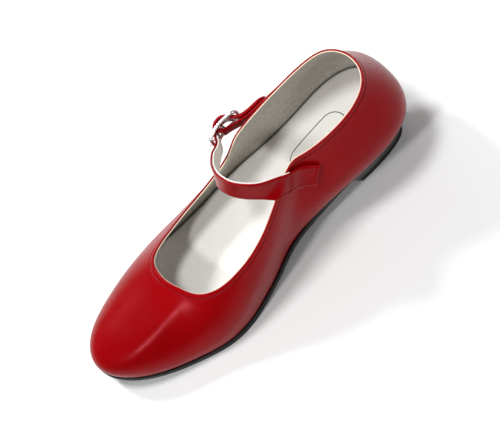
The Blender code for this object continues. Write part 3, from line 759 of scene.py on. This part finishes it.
def makeInsole():
    bottom, top, soft = insole["bed"], insole["bed"] + insole["thick"], insole["soft"]
    edge = closedCurve(innerLine(top)[::insole["edgeEvery"]], turns)
    rows = [(soft * step, top - soft * drop, paintedShade) for step, drop, paintedShade in insole["edge"]]
    rows += [(step, bottom + rise, paintedShade) for step, rise, paintedShade in insole["foot"]]
    loops = []
    for step, rise, _ in rows:
        loop = movedIn(edge, insole["clear"] + step)
        loop[:, 2] += rise
        loops.append(loop)
    piece = cappedBody("insole_sock", loops,
                       lambda x, side: seatHeight(x) + top - insole["dish"] * (1 - side ** 2),
                       lambda x, side: seatHeight(x) + bottom, insoleCloth, insole["cross"])
    # painted shade on the rim loops, darkest where the insole meets the lining
    paintedShade = np.zeros(len(piece.data.vertices))
    paintedShade[:len(rows) * last["columns"]] = np.repeat([row[2] for row in rows], last["columns"])
    valueAttribute(piece, "gap", paintedShade)
    return finishPiece(piece, ["insole"])


sizePrint = {
    "along": 0.232, "out": 0.02, "halfLength": 22 * mm, "halfWidth": 13 * mm, "corner": 9 * mm,
    "line": 0.45 * mm, "proud": 0.12 * mm, "number": "38", "height": 9 * mm, "numberAlong": 0.205,
    "numberOut": 0.02, "lift": 0.08 * mm, "cornerStep": 10, "spacing": 1.5 * mm, "sides": 10,
}


def roundedCorners(halfX, halfY, cornerX, cornerY, step):
    # the spots round each of a rounded frame's four corners
    corners = []
    for signX, signY, start in ((1, 1, 0), (-1, 1, 90), (-1, -1, 180), (1, -1, 270)):
        corners.append([(signX * (halfX - cornerX) + cornerX * math.cos(math.radians(a)),
                         signY * (halfY - cornerY) + cornerY * math.sin(math.radians(a)))
                        for a in range(start, start + 91, step)])
    return corners


def makePrintedSize(sock):
    tree = BVHTree.FromPolygons([v.co for v in sock.data.vertices],
                                [list(f.vertices) for f in sock.data.polygons])
    centre = np.array([sizePrint["along"] * last["footLength"], sizePrint["out"] * last["ballWidth"] / 2])
    centre += shoeShift[:2]

    def surface(x, y):
        return tree.ray_cast(Vector((x, y, 0.1)), Vector((0, 0, -1)))[0].z

    corner = sizePrint["corner"]
    path = centre + np.concatenate(roundedCorners(sizePrint["halfLength"], sizePrint["halfWidth"],
                                                  corner, corner, sizePrint["cornerStep"]))
    dense = []
    for near, far in zip(path, np.roll(path, -1, 0)):
        steps = max(1, int(np.linalg.norm(far - near) / sizePrint["spacing"]))
        dense += [near + (far - near) * k / steps for k in range(steps)]
    depth = sizePrint["proud"] - sizePrint["line"]
    ring = np.array([(x, y, surface(x, y) + depth) for x, y in dense]) - shoeShift
    makeRod("insole_outline", ring, True, sizePrint["line"], sizePrint["sides"], greyPrint, [])
    middle = shoeShift[:2] + (sizePrint["numberAlong"] * last["footLength"],
                              sizePrint["numberOut"] * last["ballWidth"] / 2)
    words = bpy.data.curves.new("size_number", "FONT")
    words.body = sizePrint["number"]
    words.size = sizePrint["height"]
    words.align_x, words.align_y = "CENTER", "CENTER"
    words.extrude = sizePrint["lift"]
    holder = inScene("size_number_text", words)
    plain = bpy.data.meshes.new_from_object(holder.evaluated_get(bpy.context.evaluated_depsgraph_get()))
    bpy.data.objects.remove(holder)
    for vertex in plain.vertices:
        x, y = middle[0] - vertex.co.y, middle[1] + vertex.co.x
        vertex.co = (x, y, surface(x, y) + vertex.co.z)
    plain.name = "insole_number"
    faceOutwards(plain, 0.001 * mm)
    plain.materials.clear()
    plain.materials.append(greyPrint)
    finishPiece(inScene("insole_number", plain), [])


insoleSock = makeInsole()
makePrintedSize(insoleSock)
print("insole made")


# Outsole, heel and top piece

sole = {"edge": 0.45 * mm, "round": 0.7 * mm, "groove": 0.18 * mm, "cross": 20}


def flatHeight(height):
    return lambda x, side: height(x)


def makeOutsole():
    thick = last["soleThick"]
    loops = []
    for inset, rise in ((sole["round"], thick), (sole["round"] * 0.3, thick - 0.1 * sole["round"]),
                        (0.0, thick - 0.6 * sole["round"]), (0.0, 0.62 * thick),
                        (sole["groove"], 0.56 * thick), (0.0, 0.50 * thick),
                        (0.02 * mm, 0.8 * sole["round"]), (sole["round"] * 0.3, 0.25 * sole["round"]),
                        (sole["round"], 0.0)):
        loop = soleLine(turns, sole["edge"] - inset)
        loop[:, 2] = treadHeight(loop[:, 0]) + rise
        loops.append(loop)
    piece = cappedBody("outsole_black", loops, flatHeight(lambda x: treadHeight(x) + thick),
                       flatHeight(treadHeight), blackSole, sole["cross"])
    return finishPiece(piece, ["outsole"])


heel = {
    "inset": 0.7 * mm, "breast": 57 * mm, "breastCurve": 2.5 * mm, "backSlope": 6 * mm,
    "sideSlope": 7 * mm, "breastSlope": 4 * mm, "liftThick": 4 * mm, "arc": 40, "cross": 16,
    "layers": 14, "round": 0.5 * mm, "narrowing": 0.8, "sharpFrom": 40, "topRound": (0.25 * mm, 0.3 * mm),
}


def turnAt(x, start, end):
    for _ in range(30):
        middle = (start + end) / 2
        if lastLines(np.array([middle]))[0][0, 0] > x:
            end = middle
        else:
            start = middle
    return (start + end) / 2


def heelLoop(drop, inset):
    arc, cross = heel["arc"], heel["cross"]
    inner = np.linspace(0, turnAt(heel["breast"], 0.0, 0.3), arc)
    outer = np.linspace(turnAt(heel["breast"], 1.0, 0.7), 1, arc)[:-1]
    seat = closedCurve(soleLine(turns, last["soleEdge"] - inset), np.concatenate([inner, outer]))
    corner, far = seat[arc - 1], seat[arc]
    front = [corner + (far - corner) * k / cross for k in range(1, cross)]
    for k, point in enumerate(front, 1):
        point[0] -= heel["breastCurve"] * math.sin(math.pi * k / cross)
    loop = np.array(list(seat[:arc]) + front + list(seat[arc:]))
    reach = np.clip(loop[:, 0] / heel["breast"], 0, 1)
    half = np.max(np.abs(loop[:, 1]))
    loop[:, 0] += drop * (heel["backSlope"] * (1 - reach) - heel["breastSlope"] * reach)
    loop[:, 1] *= 1 - drop * heel["sideSlope"] / half
    loop[:, 2] = 0
    return loop


def makeHeelBlock():
    low = heel["liftThick"] + last["gap"] * 0.3
    loops = []
    for drop in np.linspace(0, 1, heel["layers"]):
        loop = heelLoop(drop ** heel["narrowing"], heel["inset"])
        loop[:, 2] = treadHeight(loop[:, 0]) * (1 - drop) + low * drop
        loops.append(loop)
    piece = cappedBody("heel_block_black", loops, flatHeight(treadHeight),
                       flatHeight(lambda x: low), heelPaint, heel["cross"], heel["cross"] + 1)
    piece.data.set_sharp_from_angle(angle=math.radians(heel["sharpFrom"]))
    return finishPiece(piece, ["heel_block"])


def makeHeelLift():
    thick = heel["liftThick"]
    loops = []
    topIn, topDown = heel["topRound"]
    for inset, rise in ((topIn, thick), (0.0, thick - topDown), (0.0, heel["round"]),
                        (heel["round"] * 0.35, heel["round"] * 0.25), (heel["round"], 0.0)):
        loop = heelLoop(1, heel["inset"] + inset)
        loop[:, 2] = rise
        loops.append(loop)
    piece = cappedBody("heel_lift_black", loops, flatHeight(lambda x: thick),
                       flatHeight(lambda x: 0.0), blackSole, heel["cross"], heel["cross"] + 1)
    piece.data.set_sharp_from_angle(angle=math.radians(heel["sharpFrom"]))
    return finishPiece(piece, ["heel_lift"])


makeOutsole()
makeHeelBlock()
makeHeelLift()
print("sole and heel made")


# Strap, tab and buckle

strap = {
    "root": 15 * mm, "end": 11.6 * mm, "thick": 2.4 * mm, "leather": 1.35 * mm,
    "perSpan": 16, "across": 17, "rim": 0.22 * mm, "rimPlace": 0.9 * mm, "rimWidth": 1.2 * mm,
    "groovePlace": 2.0 * mm, "grooveDepth": 0.2 * mm, "grooveWidth": 0.38 * mm, "softEdge": 0.3 * mm,
    "liningInset": 0.3 * mm, "rimEase": 7 * mm, "layerGap": 0.02 * mm,
    "rootRows": (20, 27), "tailRows": (138, 146), "rootStart": 0.3 * mm,
    # the seams and the crease get painted shade, as much as the last value on each of the next two lines
    "boxStart": 2.0 * mm, "boxEnd": 18.5 * mm, "boxIn": 0.8, "seamShade": 0.7,
    "crease": 20.8 * mm, "creaseDepth": 0.32 * mm, "creaseWidth": 1.1 * mm, "creaseShade": 0.8,
    "tipShare": 0.5, "tipFrom": 0.7, "tipRound": 0.92, "tipLeast": 0.05, "liftFrom": 0.5, "liftRate": 10,
    "overBuckle": ((0.42, 0.1), (0, 1), (-0.35, 1), (-0.68, 0.1)),  # along the frame, share of its lift
}
tab = {
    "width": 9.6 * mm, "thick": 1.3 * mm, "behind": 1.6, "wrap": (-90, 151, 30), "perSpan": 8, "across": 9,
}
buckle = {
    "rod": 1.1 * mm, "bar": 0.9 * mm, "barInset": 1.3 * mm, "corner": 3 * mm, "lean": 11,
    "prong": 0.7 * mm, "gap": 0.3 * mm, "barClear": 0.9 * mm, "sideClear": 0.6 * mm,
    "rear": (0.322, -0.895, 0.725), "middle": (0.376, -0.907, 0.790), "front": (0.415, -0.805, 0.835),
    "cornerStep": 9, "rodSides": 28, "rodSpots": 25, "barBend": 6, "barSides": 24, "barSpots": 33,
    "prongLoop": 0.9, "prongGap": 0.3, "prongWrap": (-150, 91, 10), "prongSides": 20, "prongSpots": 10,
}
# along out rise lean taper onUpper
strapPlaces = (
    (0.283,  0.617, 0.600,  7, 0.00, 1), (0.321,  0.600, 0.808,  8, 0.00, 1),
    (0.354,  0.581, 0.975,  9, 0.05, 0), (0.408,  0.495, 1.205, 13, 0.20, 0),
    (0.444,  0.276, 1.300, 19, 0.35, 0), (0.459, -0.007, 1.270, 22, 0.50, 0),
    (0.455, -0.271, 1.130, 13, 0.70, 0), (0.437, -0.514, 0.970,  6, 0.85, 0))
strapTail = ((0.296, -0.810, 0.680, 9, 1, 1), (0.272, -0.800, 0.650, 9, 1, 1),
             (0.247, -0.790, 0.620, 9, 1, 1))
tabPlaces = ((0.205, -0.72, 0.640), (0.250, -0.72, 0.650), (0.285, -0.73, 0.680))
leanUp = np.array([0.0, math.sin(math.radians(buckle["lean"])), math.cos(math.radians(buckle["lean"]))])


def framePlace(p):
    rear, middle, front = (placed(buckle[name]) for name in ("rear", "middle", "front"))
    bow = (rear + front) / 2 - middle
    point = middle + (front - rear) / 2 * p + bow * p * p
    return point, unit(np.cross((front - rear) / 2 + 2 * bow * p, leanUp))


def barCentre():
    middle, normal = framePlace(0)
    return middle - normal * buckle["barInset"]


def strapRoute():
    rows = [[*placed(row), *row[3:]] for row in strapPlaces]
    beneath = buckle["rod"] + strap["thick"] / 2 + buckle["barClear"]
    over = (buckle["bar"] + tab["thick"] + strap["thick"] / 2 + buckle["gap"] + buckle["barClear"]
            - buckle["barInset"])
    for p, off in ((1, -beneath), *((p, share * over) for p, share in strap["overBuckle"]),
                   (-1, -beneath)):
        point, normal = framePlace(p)
        rows.append([*(point + normal * off), buckle["lean"], 1, 0])
    rows += [[*placed(row), *row[3:]] for row in strapTail]
    return openCurve(rows, strap["perSpan"])


def laidFrames(centres, across, widths, lifts, onUpper, stretch):
    # a grid of points over the strip's middle layer with the way it faces
    tangent = np.gradient(centres, axis=0)
    points = np.zeros((len(centres), len(stretch), 3))
    facing = np.zeros_like(points)
    for r, (centre, along, side, width, lift, share) in enumerate(
            zip(centres, tangent, across, widths, lifts, onUpper)):
        side = unit(side - along * np.dot(side, along) / np.dot(along, along))
        normal = unit(np.cross(along, side))
        for k, q in enumerate(stretch):
            point, faceNormal = centre + side * q * width / 2, normal
            hit, hitNormal, _, _ = outerTree.find_nearest(Vector(point))
            hitNormal = np.array(hitNormal)
            if np.dot(hitNormal, normal) < 0 and share > 0.5:
                hitNormal = -hitNormal
            offset = point - np.array(hit)
            depth = np.dot(offset, hitNormal)
            pastRim = min(np.linalg.norm(offset - hitNormal * depth) / strap["rimEase"], 1.0)
            hold = hermite(pastRim, 1, 0, 0, 0)
            push = (lift - depth) * hold
            point = point + hitNormal * (push if push > 0 else push * share)
            faceNormal = faceNormal * (1 - share * hold) + hitNormal * share * hold
            points[r, k], facing[r, k] = point, unit(faceNormal)
    return points, facing


def roundedEdge(end, face, out, inset, half, mid, angles):
    # half a circle over one edge of a strip
    return [end - out * (inset + half) + face * mid + half * (math.cos(a) * out + math.sin(a) * face)
            for a in angles]


def stripRing(points, facing, high, lows, inset, edgeSteps=5, relief=None):
    # closed rings round a strip between two heights over its middle layer
    rings = []
    angles = np.radians(np.linspace(90, -90, edgeSteps + 2)[1:-1])
    for r, low in enumerate(np.broadcast_to(lows, len(points))):
        line, face = points[r], facing[r]
        side = unit(line[-1] - line[0])
        half, mid = (high - low) / 2, (high + low) / 2
        inner = line - np.linspace(-1, 1, len(line))[:, None] * side * (inset + half)
        top = inner + face * high
        if relief is not None:
            top = top + face * relief[r][:, None]
        rings.append(list(top) + roundedEdge(line[-1], face[-1], side, inset, half, mid, angles)
                     + list((inner + face * low)[::-1])
                     + roundedEdge(line[0], face[0], -side, inset, half, mid, -angles))
    return np.array(rings)


def stripPiece(name, rings, material):
    rows, count = rings.shape[:2]
    vertices = list(rings.reshape(-1, 3))
    faces = bandFaces(rows, count)
    for first, ring in ((0, rings[0]), ((rows - 1) * count, rings[-1])):
        vertices.append(ring.mean(0))
        hub = len(vertices) - 1
        faces += [(first + k, first + (k + 1) % count, hub) for k in range(count)]
    return newPiece(name, vertices, faces, material)


def strapGrid():
    route = strapRoute()
    centres = route[:, :3]
    tangent = np.gradient(centres, axis=0)
    level = unit(np.stack([-tangent[:, 1], tangent[:, 0], np.zeros(len(route))], 1))
    lean = np.radians(route[:, 3:4])
    across = np.sin(lean) * level - np.cos(lean) * up
    widths = strap["root"] + (strap["end"] - strap["root"]) * route[:, 4]
    fromEnd = np.linalg.norm(centres - centres[-1], axis=1)
    tip = strap["end"] * strap["tipShare"]
    row = np.arange(len(route))
    late = (row > len(route) * strap["tipFrom"]) & (fromEnd < tip)
    rounding = ((tip - fromEnd[late]) / tip) ** 2 * strap["tipRound"]
    widths[late] *= np.sqrt(np.clip(1 - rounding, strap["tipLeast"], 1))
    onUpper = np.clip(route[:, 5], 0, 1)
    onQuarter = buckle["gap"] + strap["thick"] / 2
    onTab = onQuarter + tab["thick"] + 2 * buckle["gap"]
    share = np.clip((row - len(route) * strap["liftFrom"]) * strap["liftRate"], 0, 1)
    lifts = onQuarter + (onTab - onQuarter) * share
    stretch = np.linspace(-1, 1, strap["across"])
    points, facing = laidFrames(centres, across, widths, lifts, onUpper, stretch)
    return points, facing, widths


def strapLengths(points):
    middle = points[:, points.shape[1] // 2]
    return np.concatenate([[0], np.cumsum(np.linalg.norm(np.diff(middle, axis=0), axis=1))])


def strapReliefAndShade(points, widths):
    # raised rims, a seam along both edges and a sewn box over the root, and painted shade in the seams and
    # the crease
    along = strapLengths(points)[:, None]
    fromEdge = (1 - np.abs(np.linspace(-1, 1, strap["across"])))[None, :] * widths[:, None] / 2
    fromEnd = np.minimum(fromEdge, np.where(along < strap["boxEnd"], along + strap["rootStart"], 1))
    seams = np.exp(-((fromEdge - strap["groovePlace"]) / strap["grooveWidth"]) ** 2)
    inBox = fromEdge > strap["groovePlace"] * strap["boxIn"]
    for place in (strap["boxStart"], strap["boxEnd"]):
        seams = np.maximum(seams, np.exp(-((along - place) / strap["grooveWidth"]) ** 2) * inBox)
    crease = np.exp(-((along - strap["crease"]) / strap["creaseWidth"]) ** 2)
    rim = np.exp(-((fromEnd - strap["rimPlace"]) / strap["rimWidth"]) ** 2)
    soft = np.clip(fromEdge / strap["softEdge"], 0, 1)
    relief = (strap["rim"] * rim - strap["grooveDepth"] * seams - strap["creaseDepth"] * crease) * soft
    return relief, np.clip(seams * strap["seamShade"] + crease * strap["creaseShade"], 0, 1)


def makeStrap():
    points, facing, widths = strapGrid()
    half = strap["thick"] / 2
    split = half - strap["leather"]
    (rootRow, freeRow), (backRow, tailRow) = strap["rootRows"], strap["tailRows"]
    row = np.arange(len(points))
    openShare = np.minimum(np.clip((row - rootRow) / (freeRow - rootRow), 0, 1),
                           np.clip((tailRow - row) / (tailRow - backRow), 0, 1))
    lows = -half + (split + strap["layerGap"] + half) * openShare ** 2 * (3 - 2 * openShare)
    relief, paintedShade = strapReliefAndShade(points, widths)
    rings = stripRing(points, facing, half, lows, 0.0, relief=relief)
    leatherPiece = stripPiece("strap_leather", rings, redLeather)
    # painted shade in the strap's seams and crease
    shade = np.zeros(rings.shape[:2])
    shade[:, :strap["across"]] = paintedShade
    valueAttribute(leatherPiece, "crease", np.append(shade.ravel(), (0, 0)))
    finishPiece(leatherPiece, ["strap"])
    rings = stripRing(points[freeRow:backRow + 1], facing[freeRow:backRow + 1], split, -half,
                      strap["liningInset"], 3)
    liningPiece = stripPiece("strap_lining", rings, strapCloth)
    finishPiece(liningPiece, [])
    return points, facing, widths


def makeTab():
    centre = barCentre()
    _, normal = framePlace(0)
    forward = np.cross(leanUp, normal)
    ring = buckle["bar"] + buckle["gap"] + tab["thick"] / 2
    rear, rearNormal = framePlace(-1)
    behind = rear - rearNormal * (buckle["rod"] + strap["thick"] + tab["behind"] * buckle["barClear"]
                                  + tab["thick"] / 2)
    rows = [[*placed(row), 1] for row in tabPlaces] + [[*behind, 0]]
    for turn in range(*tab["wrap"]):
        angle = math.radians(turn)
        rows.append([*(centre + ring * (math.cos(angle) * forward + math.sin(angle) * normal)), 0])
    route = openCurve(rows, tab["perSpan"])
    count = len(route)
    points, facing = laidFrames(route[:, :3], np.tile(leanUp, (count, 1)),
                                np.full(count, tab["width"]),
                                np.full(count, buckle["gap"] + tab["thick"] / 2),
                                np.clip(route[:, 3], 0, 1), np.linspace(-1, 1, tab["across"]))
    rings = stripRing(points, facing, tab["thick"] / 2, -tab["thick"] / 2, 0.0)
    return finishPiece(stripPiece("buckle_tab_leather", rings, redLeather), ["buckle_tab"])


def makeFrame():
    half = strap["end"] / 2 + buckle["sideClear"] + buckle["rod"]
    reach = np.linalg.norm(framePlace(1)[0] - framePlace(-1)[0]) / 2
    corner = buckle["corner"] / reach
    run = np.linspace(1 - corner, corner - 1, buckle["rodSpots"])[1:-1]
    outline = []
    corners = roundedCorners(1, half, corner, buckle["corner"], buckle["cornerStep"])
    for spots, side in zip(corners, (1, 0, -1, 0)):
        outline += spots
        if side:
            outline += [(p * side, side * half) for p in run]
    rim = [framePlace(p)[0] + leanUp * q for p, q in outline]
    makeRod("buckle_rim", rim, True, buckle["rod"], buckle["rodSides"], brightSteel,
            ["buckle_frame"])
    centre = barCentre()
    middle, _ = framePlace(0)
    bar = [centre + (middle - centre) * min(1, abs(q) ** buckle["barBend"]) + leanUp * q * half
           for q in np.linspace(-1, 1, buckle["barSpots"])]
    makeRod("buckle_bar", bar, False, buckle["bar"], buckle["barSides"], brightSteel, [])


def makeProng():
    centre = barCentre()
    front, frontNormal = framePlace(1)
    tip = front + frontNormal * (buckle["rod"] + buckle["prong"] + buckle["gap"] * buckle["prongGap"])
    way = unit(tip - centre)
    beside = unit(np.cross(way, leanUp))
    ring = buckle["bar"] + buckle["prong"] * buckle["prongLoop"]
    path = []
    for turn in range(*buckle["prongWrap"]):
        angle = math.radians(turn)
        path.append(centre + ring * (math.sin(angle) * beside - math.cos(angle) * way))
    end = tip + way * buckle["rod"] - path[-1]
    path += [path[-1] + end * s for s in np.linspace(0, 1, buckle["prongSpots"])[1:]]
    makeRod("buckle_pin", path, False, buckle["prong"], buckle["prongSides"], brightSteel,
            ["buckle_prong"])


strapPoints, strapFacing, strapWidths = makeStrap()
makeTab()
makeFrame()
makeProng()
print("strap and buckle made")


# Stitches

stitching = {
    "topline": (2.5 * mm, 1.9 * mm, 0.24 * mm, 5), "strap": (2.0 * mm, 1.52 * mm, 0.216 * mm, 9),
    "topSink": 0.1 * mm, "strapSink": 0.5, "tailFree": 5 * mm, "strapEvery": 0.6 * mm, "boxSpots": 15,
}


def sewnRows(name, paths, closed, sizes):
    spacing, length, thread, seed = sizes
    made = grown(name, stitchRow, paths, closed, {"Spacing": spacing, "Stitch Length": length,
                                                 "Thread": thread, "Seed": seed, "Material": redThread})
    finishPiece(made, [])


def makeStitches():
    # in the topline's groove
    path = []
    for c in range(last["columns"]):
        r = int(np.argmax(fromTop[:, c] < upper["groovePlace"]))
        share = (fromTop[r - 1, c] - upper["groovePlace"]) / (fromTop[r - 1, c] - fromTop[r, c])
        point = wall[r - 1, c] + (wall[r, c] - wall[r - 1, c]) * share
        path.append(point - wallNormal[r, c] * (upper["grooveDepth"] - stitching["topSink"]))
    sewnRows("topline_stitches", [path], True, stitching["topline"])
    # along both edges of the strap and across its sewn root
    along = strapLengths(strapPoints)
    middle = strapPoints.shape[1] // 2
    shrink = strap["leather"] / 2
    height = strap["thick"] / 2 - strap["grooveDepth"] * stitching["strapSink"]

    def strapSpot(length, side):
        r = int(np.clip(np.searchsorted(along, length), 1, len(along) - 1))
        part = (length - along[r - 1]) / (along[r] - along[r - 1])
        spot = []
        for row in (r - 1, r):
            width = strapWidths[row]
            q = side * (1 - 2 * strap["groovePlace"] / width) * (1 - 2 * shrink / width)
            place = (q + 1) / 2 * (strap["across"] - 1)
            k = int(math.floor(place))
            rest = place - k
            point = strapPoints[row, k] * (1 - rest) + strapPoints[row, k + 1] * rest
            spot.append(point + strapFacing[row, middle] * height)
        return spot[0] * (1 - part) + spot[1] * part

    lengths = np.arange(strap["boxStart"], along[-1] - stitching["tailFree"], stitching["strapEvery"])
    seams = [[strapSpot(length, side) for length in lengths] for side in (-1, 1)]
    seams += [[strapSpot(place, side) for side in np.linspace(-1, 1, stitching["boxSpots"])]
              for place in (strap["boxStart"], strap["boxEnd"])]
    sewnRows("strap_stitches", seams, False, stitching["strap"])


makeStitches()
print("stitches made")


# Floor, light and camera

studio = {
    "floor": (0.80, 0.80, 0.80), "floorSize": 4.0,
    "azimuth": 95.80, "elevation": 60.16, "roll": -48.72, "distance": 1.333,
    "aim": (0.1145, -0.0001, 0.0297), "lens": 163.5, "sensor": 36, "sky": 0.2,
    # place, size in metres and power in watts
    "window": ((0.30, -1.15, 1.15), 0.3, 17), "crest": ((0.95, 0.42, 1.28), 0.2, 9),
    "fill": ((-0.75, 0.95, 0.8), 0.3, 4), "card": ((-0.10, -1.50, 0.95), 1.2, 5),
    "ceiling": ((0.05, -0.25, 1.9), 0.5, 20),
}


def makeStudio():
    floorMesh = bpy.data.meshes.new("floor")
    s = studio["floorSize"] / 2
    floorMesh.from_pydata([(-s, -s, 0), (s, -s, 0), (s, s, 0), (-s, s, 0)], [], [(0, 1, 2, 3)])
    floor = inScene("floor", floorMesh)
    finish = Finish("floor_pale")
    floorMesh.materials.append(finish.set(color=studio["floor"], roughness=0.7, specular=0.2))
    world = bpy.data.worlds.new("studio")
    world.use_nodes = True
    world.node_tree.nodes["Background"].inputs[0].default_value = (1, 1, 1, 1)
    world.node_tree.nodes["Background"].inputs[1].default_value = studio["sky"]
    scene.world = world
    for name in ("window", "crest", "fill", "card", "ceiling"):
        place, size, power = studio[name]
        light = bpy.data.lights.new(name, "AREA")
        light.shape = "DISK"
        light.size = size
        light.energy = power
        lamp = inScene(name, light)
        lamp.location = place
        lamp.rotation_euler = Vector(place).to_track_quat("Z", "Y").to_euler()


def makeCamera():
    azimuth, elevation = math.radians(studio["azimuth"]), math.radians(studio["elevation"])
    roll = math.radians(studio["roll"])
    back = np.array([math.cos(azimuth) * math.cos(elevation),
                     math.sin(azimuth) * math.cos(elevation), math.sin(elevation)])
    level = np.array([-math.sin(azimuth), math.cos(azimuth), 0.0])
    above = np.cross(back, level)
    right = math.cos(roll) * level + math.sin(roll) * above
    top = -math.sin(roll) * level + math.cos(roll) * above
    place = np.array(studio["aim"]) + shoeShift + back * studio["distance"]
    data = bpy.data.cameras.new("photo")
    data.sensor_width = studio["sensor"]
    data.lens = studio["lens"]
    data.clip_end = 20
    camera = inScene("photo", data)
    matrix = np.eye(4)
    matrix[:3, 0], matrix[:3, 1], matrix[:3, 2], matrix[:3, 3] = right, top, back, place
    camera.matrix_world = Matrix(matrix.tolist())
    scene.camera = camera


makeStudio()
makeCamera()
scene.view_settings.view_transform = "Standard"
print("studio made")
